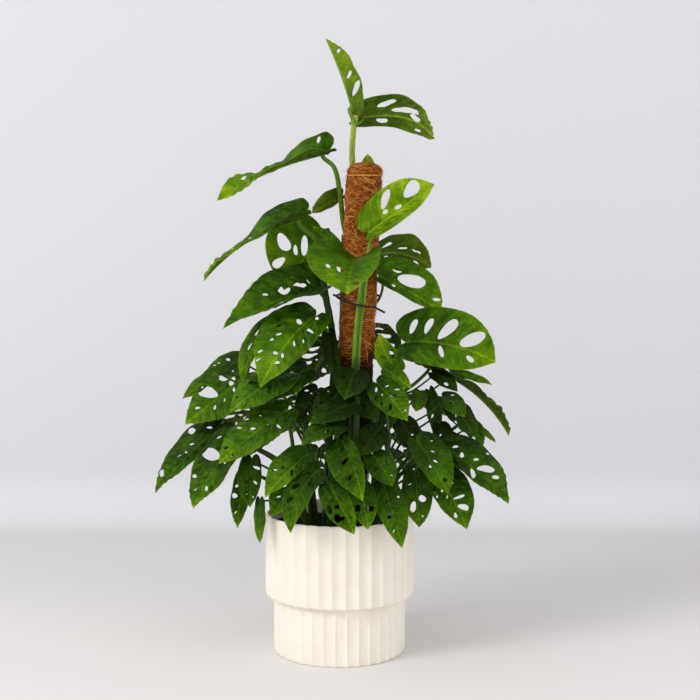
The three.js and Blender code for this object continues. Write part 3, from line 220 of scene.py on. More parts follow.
# How young leaves look, with painted shade on those deep in the bush: 0 is old and deep green, 1 is fresh
# yellow-green.
AGES_AND_SHADE = {
    0.0: "PP VA VB VC", 0.05: "VD VE VF WD", 0.08: "SS", 0.1: "WB", 0.15: "WA WC", 0.16: "KK QQ",
    0.27: "HH", 0.28: "R U TT", 0.3: "MM", 0.34: "JJ JS II", 0.4: "Q LL LS", 0.42: "H W", 0.45: "I2",
    0.48: "P Z", 0.5: "I Y3", 0.52: "F", 0.57: "L M", 0.6: "D O", 0.64: "G", 0.66: "N", 0.68: "K",
    0.7: "B C E", 0.8: "A", 0.84: "J",
}
AGE_AND_SHADE = {name: age_and_shade for age_and_shade, names in AGES_AND_SHADE.items() for name in names.split()}
USUAL_AGE = 0.36
AGE_SPREAD = 0.06

# ---- stems: radius and route ----
STEMS = {
    "tall": (4.5, [(13, 36, 145), (14, 36.5, 200), (20, 37, 400), (25, 37, 570), (17, 28, 664),
                   (19, 4, 700), (21, -5, 717)]),
    "front": (6, [(14, -38, 145), (18, -36, 300), (22, -33, 396), (25, -32, 440), (31, -32, 490),
                  (34, -33, 512)]),
    "left": (5, [(-20, -16, 145), (-13, -10, 300), (-7, -8, 404), (-12, -6, 446), (-19, -6, 484),
                 (-24, -8, 545)]),
    "back": (4, [(-2, 38, 145), (2, 42, 350), (4, 44, 480), (6, 48, 560)]),
    "right": (4, [(40, -12, 145), (48, -14, 250), (60, -13, 330), (72, -10, 366)]),
    "upleft": (4, [(-36, 4, 145), (-42, 4, 250), (-48, -4, 330), (-52, -10, 352)]),
    "lowleft": (4, [(-40, -24, 145), (-48, -32, 200), (-60, -40, 262)]),
    "frontleft": (4, [(-14, -44, 145), (-12, -58, 220), (-8, -70, 290)]),
    "frontmid": (4, [(14, -60, 145), (18, -66, 220), (22, -66, 300), (24, -62, 350)]),
    "lowright": (4, [(46, -40, 145), (56, -44, 220), (66, -46, 300)]),
    "backleft": (4, [(-30, 34, 145), (-40, 50, 230), (-48, 60, 300)]),
    "backright": (4, [(42, 36, 145), (48, 56, 230), (54, 66, 300)]),
}
STEM_STEPS, STEM_SIDES = 90, 12
STEM_LOOK = 60  # places along a stem where a petiole may leave it
KNOT_SPACING = 38
# How pale each stem is at its foot and at its top, from 0 to 1, and how dark the line down its sheath is.
STEM_TONES = {"tall": (0.3, 1.0), "front": (0.1, 0.84), "left": (0.15, 0.25), "upleft": (0.3, 0.4)}
USUAL_TONES = (0.3, 0.5)
SHEATH_LINE = {"front": 0.32, "left": 0.1, "tall": 0.1}
# A stem is dark in the shade of the bush and brightens over this height where it comes out.
SHADE_TOP, SHADE_FADE = 372, 30

# ---- petioles ----
PETIOLE_ROUTES = {
    "A": [(20, -3, 706)],
    "B": [(21, 0, 703)],
    "D": [(22, 37, 520), (6, 22, 572), (1, 4, 612), (-7, -9, 648)],
    "J": [(33, -33, 500), (37, -35, 532)],
    "L": [(23, 37, 452), (50, 32, 468), (58, 10, 490)],
}
STOUT_PETIOLES = {"A": 3, "D": 4, "F": 4, "U": 3, "V": 3, "W": 3, "Y": 3, "JJ": 3, "II": 3, "GG": 3}
PETIOLE_STEPS, PETIOLE_SIDES = 26, 8
PETIOLE_SEAT = 0.03  # where it meets the midrib, as a share of the blade's length
SEAT_DEPTH = 5  # how far from the blade it turns to meet it
PETIOLE_SLOPE, PETIOLE_DROP = 0.8, 10  # how far below the blade it leaves the stem
FOOT_CLEAR, TOP_CLEAR = 12, 4  # the least above the soil and below the stem's end
# how far it rises beside the stem, leans out from it, and comes in square to the blade: shares of the way
PETIOLE_RISE, PETIOLE_LEAN, PETIOLE_ARRIVAL = 0.42, 0.1, 0.2

# ---- pot, soil and pole ----
FLUTES = 36
POT_TOP, LEDGE = 187, 78
UPPER, LOWER = 100, 89  # radii of the two tiers
UPPER_BORE, LOWER_BORE = 95, 84
POT_FLOOR = 8
SOIL_TOP = 168
UPPER_BED, LOWER_BED, BED_FLOOR = 94.3, 83.4, 8.4  # the peat just clears the pot
BED_RINGS, CRUMBS, CRUMB_SIZE = 30, 1500, (0.7, 2.2)
SLEEVE, SLEEVE_FOOT, SLEEVE_TOP, PINCH = 23.5, 112, 655, 637
CROWN = 14  # height of the sleeve's rounded top
POLE_X, POLE_LEAN = 4, 0.0455
# short fibres lie round the sleeve from a height up, and hairs stand off it
FIBRES, FIBRE_LENGTH, FIBRE_RADIUS, FIBRE_FOOT = 4100, (14, 46), (0.14, 0.32), 150
HAIRS, HAIR_LENGTH, HAIR_FOOT = 170, (5, 26), 180
FELT_DEPTH = 0.6  # the core lies this far below the fibres
SLEEVE_SHADE_TOP, SLEEVE_SHADE_FADE = 412, 40  # where the painted shade on the sleeve starts, and how far below it the sleeve is fully shaded


# ---- small helpers ----
def unit(v):
    v = np.asarray(v, float)
    return v / np.linalg.norm(v, axis=-1, keepdims=True)


def three(value):
    """Values at base, middle and tip."""
    return tuple(value) if isinstance(value, (list, tuple)) else (value, value, value)


def round_turn(count):
    """Angles at even steps once round."""
    return np.arange(count) * 2 * math.pi / count


def bend(values, t):
    """A parabola through three values at 0, 0.5 and 1."""
    first, middle, last = values
    u = np.clip(t, 0, 1)
    return first * (1 - u) * (1 - 2 * u) + middle * 4 * u * (1 - u) + last * u * (2 * u - 1)


def smooth_route(points, count):
    """Points at even steps of a centripetal spline through the given ones."""
    p = [np.array(q, float) for q in points]
    p = [2 * p[0] - p[1]] + p + [2 * p[-1] - p[-2]]
    spans = len(points) - 1
    out = []
    for i in range(count + 1):
        place = min(i * spans / count, spans - 1e-9)
        k = int(place)
        t = place - k
        a, b, c, d = p[k:k + 4]
        ab, bc, cd = (max(np.linalg.norm(q - r) ** 0.5, 1e-6) for q, r in ((b, a), (c, b), (d, c)))
        leave = ((b - a) / ab - (c - a) / (ab + bc) + (c - b) / bc) * bc
        reach = ((c - b) / bc - (d - b) / (bc + cd) + (d - c) / cd) * bc
        square, cube = 3 * (c - b) - 2 * leave - reach, 2 * (b - c) + leave + reach
        out.append(b + leave * t + square * t * t + cube * t ** 3)
    return np.array(out)


class Shape:
    """Triangles gathered into one mesh, each with a material number and two sets of flat coordinates."""

    def __init__(self):
        self.points, self.faces, self.slots, self.blade, self.growth = [], [], [], [], []
        self.count = 0

    def add(self, points, faces, slots=0, blade=(0.0, 0.0), growth=(0.0, 0.0)):
        n = len(points)
        self.points.append(points)
        self.faces.append(np.asarray(faces, int) + self.count)
        self.slots.append(np.broadcast_to(slots, (len(faces),)))
        self.blade.append(np.broadcast_to(blade, (n, 2)))
        self.growth.append(np.broadcast_to(growth, (n, 2)))
        self.count += n

    def piece(self, name, materials, nodes, slot, sharp=40):
        """Makes the mesh a piece that stands for its nodes; edges sharper than an angle stay crisp."""
        points = np.concatenate(self.points) * MM
        faces = np.concatenate(self.faces)
        mesh = bpy.data.meshes.new(name)
        mesh.vertices.add(len(points))
        mesh.vertices.foreach_set("co", points.ravel())
        mesh.loops.add(faces.size)
        mesh.loops.foreach_set("vertex_index", faces.ravel())
        mesh.polygons.add(len(faces))
        mesh.polygons.foreach_set("loop_start", np.arange(0, faces.size, 3))
        mesh.polygons.foreach_set("material_index", np.concatenate(self.slots))
        for layer, values in (("blade", self.blade), ("growth", self.growth)):
            uv = mesh.uv_layers.new(name=layer)
            uv.data.foreach_set("uv", np.concatenate(values)[faces.ravel()].ravel())
        mesh.update(calc_edges=True)
        mesh.validate()
        for material in materials:
            mesh.materials.append(material)
        mesh.shade_smooth()
        mesh.set_sharp_from_angle(angle=math.radians(sharp))
        piece = bpy.data.objects.new(name, mesh)
        bpy.context.scene.collection.objects.link(piece)
        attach(piece, "root")
        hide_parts(*nodes)


def closed_rings(rings, ends):
    """Points and triangles of a closed body through rings of points, with a middle point for each end."""
    count = len(rings[0])
    points = np.concatenate([*rings, ends])
    faces = []
    for i in range(len(rings) - 1):
        for j in range(count):
            a, b = i * count + j, i * count + (j + 1) % count
            faces += [(a, b, b + count), (a, b + count, a + count)]
    first = len(rings) * count
    for j in range(count):
        k = (j + 1) % count
        faces += [(first, k, j), (first + 1, first - count + j, first - count + k)]
    return points, faces


def tube(points, radii, sides):
    """Points and triangles of a closed tube along a route, with a radius for each point."""
    points = np.asarray(points, float)
    radii = np.broadcast_to(radii, (len(points),))
    ahead = unit(np.gradient(points, axis=0))
    side = unit(np.cross(ahead[0], (0.3, 0.9, 0.1)))
    turn = round_turn(sides)
    rings = []
    for point, radius, way in zip(points, radii, ahead):
        side = unit(side - way * np.dot(side, way))
        up = np.cross(way, side)
        rings.append(point + radius * (np.outer(np.cos(turn), side) + np.outer(np.sin(turn), up)))
    return closed_rings(rings, [points[0], points[-1]])


def turned(profile, count, radius_at):
    """A closed turned body; a row is a radius, a height, and what radius_at needs to shape the ring."""
    turn = round_turn(count)
    rings = []
    for radius, height, kind in profile:
        r = radius_at(radius, kind, turn)
        rings.append(np.stack([r * np.sin(turn), -r * np.cos(turn), np.full(count, float(height))], -1))
    return closed_rings(rings, [(0, 0, profile[0][1]), (0, 0, profile[-1][1])])


# ---- materials ----
def linear(hexcode):
    """An sRGB hex colour as the linear values that shaders take."""
    parts = [int(hexcode[i:i + 2], 16) / 255 for i in (1, 3, 5)]
    return tuple(c / 12.92 if c <= 0.04045 else ((c + 0.055) / 1.055) ** 2.4 for c in parts) + (1.0,)


def fill(tree, made, values):
    """Gives a node's inputs a value or another node's output; one is known by its number or name."""
    for key, value in values.items():
        socket = next(socket for number, socket in enumerate(made.inputs)
                      if key in (number, socket.name.replace(" ", "_"), socket.identifier))
        if isinstance(value, bpy.types.NodeSocket):
            tree.links.new(value, socket)
        else:
            socket.default_value = value


def node(tree, kind, settings, *values, **named):
    """Adds a shader node and gives its outputs. A colour ramp's stops are among its settings."""
    made = tree.nodes.new("ShaderNode" + kind)
    for key, value in settings.items():
        if key != "stops":
            setattr(made, key, value)
            continue
        places = made.color_ramp.elements
        while len(places) < len(value):
            places.new(0.5)
        for element, (place, colour) in zip(places, value):
            element.position = place
            element.color = linear(colour)
    fill(tree, made, dict(enumerate(values)) | named)
    return made.outputs


def material(name):
    """A new material, its node tree, and each spot's own place on the plant."""
    made = bpy.data.materials.new(name)
    made.use_nodes = True
    return made, made.node_tree, node(made.node_tree, "TexCoord", {})["Object"]


def skin(tree, **values):
    """Sets the surface of a material and gives its shader."""
    surface = tree.nodes["Principled BSDF"]
    fill(tree, surface, values)
    return surface.outputs[0]


def show(tree, *shaders):
    """Makes a mix of two shaders, by the share of the second, what is seen."""
    both = node(tree, "MixShader", {}, *shaders)[0]
    tree.links.new(both, tree.nodes["Material Output"].inputs["Surface"])


def grown(tree, layer="growth"):
    """A mesh's own two values at a spot: of its growth, or of its place on the blade."""
    return node(tree, "SeparateXYZ", {}, node(tree, "UVMap", {"uv_map": layer})[0])


PLUS, MINUS, TIMES, TIMES_PLUS, POWER, UNSIGNED, LARGER, PINGPONG = (
    {"operation": word}
    for word in ("ADD", "SUBTRACT", "MULTIPLY", "MULTIPLY_ADD", "POWER", "ABSOLUTE", "MAXIMUM", "PINGPONG")
)
SMOOTH = {"interpolation_type": "SMOOTHSTEP"}
COLOURS = {"data_type": "RGBA"}

VEINS = 9  # side veins on each half of a blade
VEIN_SLANT = 0.2  # how far a side vein runs forward by the edge, as a share of the length
VEIN_CURVE = 1.3  # 1 would be a straight vein
GLOW = [(0.0, "#162c00"), (0.5, "#527a00"), (1.0, "#a8bc08")]


def leaf_skin(name, stops, rough, vein_tint, vein_mix):
    """Waxy leaf skin: its colour follows the leaf's age and painted shade, mottled, with a paler margin and
    midrib, and painted shade in the wrinkles' creases and the side veins' grooves.
    """
    made, tree, place = material(name)
    blade, leaf = grown(tree, "blade"), grown(tree)
    # across runs from 0 at the midrib to 1 at the edge, and along counts the side veins
    off = node(tree, "Math", UNSIGNED, node(tree, "Math", MINUS, blade["Y"], 0.5)[0])[0]
    across = node(tree, "Math", TIMES, off, 2.0)[0]
    slant = node(tree, "Math", TIMES, node(tree, "Math", POWER, across, VEIN_CURVE)[0], VEIN_SLANT)[0]
    along = node(tree, "Math", TIMES, node(tree, "Math", MINUS, blade["X"], slant)[0], float(VEINS))[0]
    from_vein = node(tree, "Math", PINGPONG, along, 0.5)[0]
    side_vein = node(tree, "MapRange", SMOOTH, from_vein, 0.0, 0.09, 1.0, 0.0)[0]
    midrib = node(tree, "MapRange", SMOOTH, across, 0.015, 0.07, 1.0, 0.0)[0]
    veins = node(tree, "Math", LARGER, node(tree, "Math", TIMES, side_vein, 0.45)[0], midrib)[0]
    # blotches about 24 mm across and flecks about 4 mm across
    blotches = node(tree, "TexNoise", {}, place, Scale=42.0, Detail=2.0, Roughness=0.5)[0]
    flecks = node(tree, "TexNoise", {}, place, Scale=260.0, Detail=3.0, Roughness=0.7)[0]
    # wrinkles run beside the side veins, two or three between one vein and the next, and differ by leaf;
    # they raise the relief and also paint shade in their creases and light on their ridges
    beside = node(tree, "CombineXYZ", {}, *(
        node(tree, "Math", TIMES, way, count)[0]
        for way, count in ((along, 2.3), (blade["Y"], 7.0), (leaf["X"], 60.0))
    ))[0]
    wrinkles_and_crease_shade = node(tree, "TexNoise", {}, beside, Scale=1.0, Detail=2.0, Roughness=0.55)[0]
    vein_groove_shade = node(tree, "MapRange", SMOOTH, from_vein, 0.0, 0.3, 1.0, 0.0)[0]
    margin = node(tree, "MapRange", SMOOTH, leaf["Y"], 0.0, 0.2, 1.0, 0.0)[0]
    # each of these shifts a spot's tone from its leaf's: what it is, its middle, and how much
    # blotches and flecks are the skin's own mottling, the wrinkles are painted shade and light, beside a
    # side vein is painted shade in its groove, the blade is darker towards its base and brighter towards
    # its tip, and the margin is paler
    age_and_shade = leaf["X"]
    for pattern, middle, share in (
        (blotches, 0.5, 0.7), (flecks, 0.5, 0.4), (wrinkles_and_crease_shade, 0.5, 0.5),
        (vein_groove_shade, 0.0, -0.06), (blade["X"], 0.45, 0.45), (margin, 0.0, 0.13),
    ):
        age_and_shade = node(tree, "Math", TIMES_PLUS, node(tree, "Math", MINUS, pattern, middle)[0], share, age_and_shade)[0]
    age_and_shade = node(tree, "Math", TIMES_PLUS, veins, node(tree, "Math", TIMES, leaf["X"], 0.45)[0], age_and_shade)[0]
    colour = node(tree, "ValToRGB", {"stops": stops}, age_and_shade)[0]
    mixed = node(tree, "Mix", COLOURS, node(tree, "Math", TIMES, veins, vein_mix)[0],
                 A_Color=colour, B_Color=linear(vein_tint))[2]
    # the skin's fine wrinkles, drawn at 2.5 mm so that they show
    cells = node(tree, "TexNoise", {}, place, Scale=400.0, Detail=3.0)[0]
    relief = node(tree, "Math", TIMES_PLUS, wrinkles_and_crease_shade, 2.2, cells)[0]
    wax = skin(tree, Base_Color=mixed, Roughness=rough, IOR=1.45, Specular_IOR_Level=0.24,
               Specular_Tint=linear("#e4f4a0"),
               Normal=node(tree, "Bump", {}, Height=relief, Strength=0.5, Distance=0.0016)[0])
    # light from behind glows yellow-green through the blade
    glow = node(tree, "BsdfTranslucent", {}, node(tree, "ValToRGB", {"stops": GLOW}, age_and_shade)[0])[0]
    show(tree, 0.22, wax, glow)
    return made


def raised_grain(tree, tone, stops, noise, strength, depth, **values):
    """A surface coloured by tone, and raised where the noise is high."""
    return skin(tree, Base_Color=node(tree, "ValToRGB", {"stops": stops}, tone)[0],
                Normal=node(tree, "Bump", {}, Height=noise, Strength=strength, Distance=depth)[0], **values)


def stem_skin():
    """Smooth green stem skin, faintly streaked lengthwise."""
    made, tree, place = material("stem_skin")
    # streaks about 2.5 mm wide and 25 mm long
    streaks = node(tree, "Mapping", {}, place, Scale=(400.0, 400.0, 40.0))[0]
    noise = node(tree, "TexNoise", {}, streaks, Scale=1.0, Detail=3.0)[0]
    shift = node(tree, "Math", MINUS, noise, 0.5)[0]
    tone = node(tree, "Math", TIMES_PLUS, shift, 0.6, grown(tree)["X"])[0]
    stops = [(0.0, "#122400"), (0.35, "#2c4c04"), (0.65, "#5b8410"), (1.0, "#b2c85a")]
    raised_grain(tree, tone, stops, noise, 0.2, 0.0005, Roughness=0.45, Specular_IOR_Level=0.2)
    return made


def coir_fibre():
    """Dry coconut fibre, matte: each strand has its own brown, from straw to rust."""
    made, tree, place = material("coir_fibre")
    # each changes tone every 4 mm or so
    noise = node(tree, "TexNoise", {}, place, Scale=260.0, Detail=4.0)[0]
    shift = node(tree, "Math", MINUS, noise, 0.5)[0]
    tone = node(tree, "Math", TIMES_PLUS, shift, 0.8, grown(tree)["X"])[0]
    stops = [(0.0, "#1e0a00"), (0.3, "#8a4406"), (0.62, "#cb7a1e"), (1.0, "#f8bf70")]
    raised_grain(tree, tone, stops, noise, 0.5, 0.001, Roughness=0.85, Specular_IOR_Level=0.2)
    return made


def moist_peat():
    """Loose moist peat: almost black, matte, with paler bits."""
    made, tree, place = material("moist_peat")
    # crumbs about 5 mm across
    noise = node(tree, "TexNoise", {}, place, Scale=180.0, Detail=6.0, Roughness=0.7)[0]
    tone = node(tree, "Math", PLUS, noise, grown(tree)["X"])[0]
    stops = [(0.3, "#150e0a"), (0.7, "#33241a"), (1.0, "#5a4330")]
    raised_grain(tree, tone, stops, noise, 0.7, 0.002, Roughness=0.92)
    return made


def matte_cream_glaze():
    """Matte cream glaze on cast stoneware: soft sheen, cloudy cream and a faint speckle."""
    made, tree, place = material("matte_cream_glaze")
    # clouds about 45 mm across, and specks and a grain drawn at about 1 mm so that they show
    cloud = node(tree, "TexNoise", {}, place, Scale=22.0, Detail=5.0, Roughness=0.6)[0]
    base = node(tree, "ValToRGB", {"stops": [(0.3, "#f1e9da"), (0.7, "#f8f2e6")]}, cloud)[0]
    speck = node(tree, "TexNoise", {}, place, Scale=900.0, Detail=1.0)[0]
    dots = node(tree, "MapRange", {}, speck, 0.7, 0.76, 0.0, 0.3)[0]
    mixed = node(tree, "Mix", COLOURS, dots, A_Color=base, B_Color=linear("#c9bfa8"))[2]
    grain = node(tree, "TexNoise", {}, place, Scale=1400.0, Detail=3.0)[0]
    skin(tree, Base_Color=mixed, Roughness=0.5, IOR=1.5,
         Normal=node(tree, "Bump", {}, Height=grain, Strength=0.1, Distance=0.0004)[0])
    return made


def grained(name, darker, colour, rough, scale):
    """One colour with a fine darker grain."""
    made, tree, place = material(name)
    noise = node(tree, "TexNoise", {}, place, Scale=scale, Detail=3.0)[0]
    skin(tree, Roughness=rough,
         Base_Color=node(tree, "ValToRGB", {"stops": [(0.3, darker), (0.7, colour)]}, noise)[0])
    return made


LEAF_TOP = leaf_skin(
    "leaf_upper_skin",
    [(0.0, "#0e2200"), (0.3, "#264a00"), (0.55, "#467201"), (0.8, "#6a9206"), (1.0, "#9cbc18")],
    0.36, "#8cac34", 0.08)
LEAF_UNDER = leaf_skin(
    "leaf_underside",
    [(0.0, "#1e3206"), (0.35, "#395410"), (0.7, "#5a7a18"), (1.0, "#86a01e")],
    0.55, "#8ea24c", 0.3)
STEM_SKIN = stem_skin()
GLAZE = matte_cream_glaze()
COIR = coir_fibre()
PEAT = moist_peat()
# plastic-coated steel wire, satin black, with a grain of about 2 mm
WIRE = grained("black_coated_wire", "#09090b", "#0c0c0e", 0.6, 600.0)
# rough-sawn softwood, weathered brown, with marks of about 11 mm
STAKE = grained("sawn_stake", "#614830", "#7a5b3c", 0.75, 90.0)


# ---- the blade's surface ----
# Heights of its relief in mm on a blade 100 mm long, and the width of the midrib's groove in mm.
PUCKER, SWELL, WAVE, GROOVE, GROOVE_WIDTH = 2.7, 2.1, 1.8, 1.0, 2.0


class Leaf:
    """One blade: where it lies, how it is bent, its age with painted shade, and its holes."""

    def __init__(self, turn, name, stem, base, tip, face, halves, bow, holes=(), fold=0, roll=0):
        self.name, self.stem, self.halves = name, stem, halves
        self.base = np.array(base, float)
        self.span = np.array(tip, float) - self.base
        self.length = float(np.linalg.norm(self.span))
        along = unit(self.span)
        self.up = unit(np.array(face, float) - along * np.dot(face, along))
        arch, sway, self.belly = bow
        self.bow = self.up * arch + np.cross(along, self.up) * sway
        self.fold, self.roll = three(fold), three(roll)
        draw = random.Random(turn * 7 + 3)
        self.phase = draw.uniform(0, 2 * math.pi)
        # its tone: its age, darker as painted shade for a leaf deep in the bush, and a little spread
        self.age_and_shade = AGE_AND_SHADE.get(name, USUAL_AGE) + draw.uniform(-AGE_SPREAD, AGE_SPREAD)
        self.holes = list(holes)
        if not holes and self.length >= LONG_BLADE:
            for i, (u, v, length, width, angle) in enumerate(PLAIN_HOLES):
                # a scatter from 0 to 1 that is fixed for each hole, as in the solids
                scatter = math.sin(turn * 12.9898 + i * 78.233) * 43758.5453 % 1
                size = 0.8 + 0.4 * scatter
                self.holes.append((u, v, length * size, width * size, angle))
        if stem not in UNSLIT_STEMS and name not in UNSLIT_LEAVES and self.length > SLIT_BLADE:
            self.holes += self.slits(draw)

    def half(self, v):
        """The half width on the side that v is on."""
        return np.where(np.asarray(v) < 0, *self.halves)

    def slits(self, draw):
        """Small holes strewn between the larger ones, as many as find room."""
        kept = []
        past_lobes = np.transpose(EDGE[3:])
        for i in range(SLIT_TRIES.get(self.stem, USUAL_TRIES)):
            # the halves take turns, and the base and the tip stay whole
            sign = -1 if i % 2 else 1
            u = 0.1 + 0.7 * draw.random()
            row = INNER_ROW if draw.random() < INNER_SHARE else OUTER_ROW
            v, length = (draw.uniform(*limits) for limits in row)
            width = length * draw.uniform(0.3, 0.45)
            half = float(self.half(sign))
            room = np.interp(u, *past_lobes) * half
            across = v * half
            shrink = min(1, LONGEST_SLIT / (length * self.length))
            length, width = length * shrink, width * shrink
            reach = length * self.length / 2
            if across - reach < RIB_CLEAR or across + reach > room - EDGE_CLEAR:
                continue
            apart = [math.hypot((u - h[0]) * self.length, across - abs(h[1]) * half)
                     - (reach + max(h[2], 1.5 * h[3]) * self.length / 2)
                     for h in [*self.holes, *kept] if h[1] * sign > 0]
            if min(apart, default=math.inf) > HOLE_CLEAR:
                # slits near the base lie the most crosswise
                kept.append((u, sign * v, length, width, 60 - 35 * u + draw.uniform(-8, 8)))
        return kept

    def rib(self, u):
        """The midrib's points, and the ways that the upper face and the right half look there."""
        u = np.asarray(u, float)[..., None]
        point = self.base + self.span * u + self.bow * 4 * u * (1 - u)
        ahead = unit(self.span + self.bow * 4 * (1 - 2 * u))
        turn = np.radians(bend(self.roll, u))
        level = unit(self.up - ahead * np.sum(ahead * self.up, -1, keepdims=True))
        normal = level * np.cos(turn) + np.cross(ahead, level) * np.sin(turn)
        return point, normal, np.cross(ahead, normal)

    def surface(self, u, v):
        """The blade's middle surface; v runs from -1 on the left edge to 1 on the right."""
        t = u + self.belly * np.where(u > 0, u * (1 - u), 0)
        point, normal, side = self.rib(t)
        reach = np.abs(v) * self.half(v)
        fold = np.radians(bend(self.fold, t))
        lift = reach * np.sin(fold) + self.relief(u, v)
        return point + side * (np.sign(v) * reach * np.cos(fold))[..., None] + normal * lift[..., None]

    def relief(self, u, v):
        """Height in mm of the puckered skin between the veins, the waved edge and the midrib's groove."""
        out = np.abs(v)
        size = self.length / 100
        start = self.phase + np.where(v < 0, 1.7, 0)  # the two halves differ
        between = np.abs(np.sin(math.pi * VEINS * (u - VEIN_SLANT * out ** VEIN_CURVE)))
        uneven = 0.65 + 0.5 * np.sin(9 * u + 5 * out + start) * np.cos(11 * out - 3 * self.phase)
        pucker = PUCKER * size * between * uneven * np.clip(out * 5, 0, 1) * np.clip((1.05 - out) * 3, 0, 1)
        swell = SWELL * size * np.sin(5.5 * u + self.phase + start) * np.sin(math.pi * np.clip(out, 0, 1))
        wave = WAVE * size * out ** 3 * np.sin(15 * u + start) * np.clip((1 - u) * 3, 0, 1)
        groove = GROOVE * size * np.exp(-((out * self.half(v) / GROOVE_WIDTH) ** 2))
        return pucker + swell + wave - groove


def smooth_edge(steps):
    """The half outline as a smooth curve through EDGE."""
    points = [np.array(p, float) for p in EDGE]
    out = []
    for i in range(len(points) - 1):
        before = points[max(i - 1, 0)]
        a, b = points[i], points[i + 1]
        after = points[min(i + 2, len(points) - 1)]
        for k in range(steps):
            t = k / steps
            square, cube = 2 * before - 5 * a + 4 * b - after, 3 * a - before - 3 * b + after
            out.append(0.5 * (2 * a + (b - before) * t + square * t * t + cube * t ** 3))
    out.append(points[-1])
    return np.array(out)


SMOOTH_EDGE = smooth_edge(7)
LOBES_BACK = -0.08  # where the base's lobes end, as a share of the length
HOLE_POINTS, SLIT_POINTS = 18, 10
SLIT_LENGTH = 7  # a longer hole takes more points
MESH = 2.4  # spacing of the skin's points
HALF_SKIN = 0.25  # half the skin's thickness
RIB_WIDTH = 1.2  # of the midrib that stands out below
SURFACE_STEP = 0.004  # share of the blade over which its slope is taken
MARGIN = 8  # how far from the edge the growth coordinate tells the margin


def hole_outline(leaf, hole, shape):
    """A hole as a rounded egg, a little uneven."""
    u, v, length, width, angle = hole
    turn = round_turn(HOLE_POINTS if length * leaf.length > SLIT_LENGTH else SLIT_POINTS)
    uneven = 1 + 0.05 * np.sin(2 * turn + shape) + 0.04 * np.sin(3 * turn + 2 * shape)
    x = length / 2 * leaf.length * np.cos(turn) * uneven
    y = width / 2 * leaf.length * np.sin(turn) * uneven * (1 + 0.18 * np.cos(turn))
    slope = math.radians(angle)
    du = (x * math.cos(slope) - y * math.sin(slope)) / leaf.length
    dv = (x * math.sin(slope) + y * math.cos(slope)) / leaf.half(v)
    return np.stack([u + du, v + math.copysign(1, v) * dv], -1)


def inside(points, loop):
    """Which points lie inside a closed outline."""
    x, y = points[:, 0:1], points[:, 1:2]
    a, b = loop, np.roll(loop, -1, axis=0)
    crosses = (a[:, 1] > y) != (b[:, 1] > y)
    with np.errstate(divide="ignore", invalid="ignore"):
        where = (b[:, 0] - a[:, 0]) * (y - a[:, 1]) / (b[:, 1] - a[:, 1]) + a[:, 0]
    return (np.sum(crosses & (x < where), axis=1) % 2) == 1


def on_blade(points, loops):
    """Which points lie inside the blade's outline and in none of its holes."""
    found = inside(points, loops[0])
    for hole in loops[1:]:
        found &= ~inside(points, hole)
    return found


def nearest(points, others):
    """How far each point is from the nearest of the others."""
    return np.array([np.min(np.sum((others - p) ** 2, axis=1)) for p in points]) ** 0.5


def flat_mesh(leaf):
    """A blade pressed flat: its triangles, and u, v and the distance from the edge at each point."""
    def flat(uv):
        return np.stack([uv[:, 0] * leaf.length, uv[:, 1] * leaf.half(uv[:, 1])], -1)

    outline = np.concatenate([SMOOTH_EDGE * (1, -1), SMOOTH_EDGE[-2:0:-1]])
    loops = [outline] + [hole_outline(leaf, hole, i + leaf.phase) for i, hole in enumerate(leaf.holes)]
    flat_loops = [flat(loop) for loop in loops]
    rib_count = int(leaf.length / MESH)
    ribs = np.stack([np.linspace(0, 1, rib_count + 2)[1:-1], np.zeros(rib_count)], -1)
    grid = []
    rows = int(leaf.length * 1.1 / MESH)
    for i in range(rows + 1):
        u = LOBES_BACK + (1 - LOBES_BACK) * i / rows
        for sign, half in zip((-1, 1), leaf.halves):
            across = int(half / MESH) + 1
            grid += [(u, sign * (k - 0.5 * (i % 2)) / across) for k in range(1, across + 1)]
    grid = np.array(grid)
    keep = on_blade(flat(grid), flat_loops)
    keep &= nearest(flat(grid), np.concatenate(flat_loops + [flat(ribs)])) > 0.45 * MESH
    uv = np.concatenate(loops + [ribs, grid[keep]])
    edges = []
    start = 0
    for loop in loops:
        n = len(loop)
        edges += [(start + i, start + (i + 1) % n) for i in range(n)]
        start += n
    midrib = [0, *range(start, start + rib_count), len(SMOOTH_EDGE) - 1]
    edges += zip(midrib, midrib[1:])
    found, _, faces, origins, _, _ = delaunay_2d_cdt([Vector(p) for p in flat(uv)], edges, [], 0, 1e-5)
    found = np.array([p[:] for p in found])
    faces = np.array([f for f in faces if len(f) == 3])
    faces = faces[on_blade(found[faces].mean(axis=1), flat_loops)]
    a, b, c = (found[faces[:, k]] for k in range(3))
    area = (b[:, 0] - a[:, 0]) * (c[:, 1] - a[:, 1]) - (c[:, 0] - a[:, 0]) * (b[:, 1] - a[:, 1])
    faces[area > 0] = faces[area > 0][:, ::-1]
    # a point that the triangles added where two edges cross has no origin
    u, v = np.transpose([
        uv[origin[0]] if origin else (p[0] / leaf.length, p[1] / leaf.half(p[1]))
        for p, origin in zip(found, origins)
    ])
    edge = np.concatenate([flat_loops[0], (flat_loops[0] + np.roll(flat_loops[0], -1, axis=0)) / 2])
    return faces, u, v, nearest(found, edge)


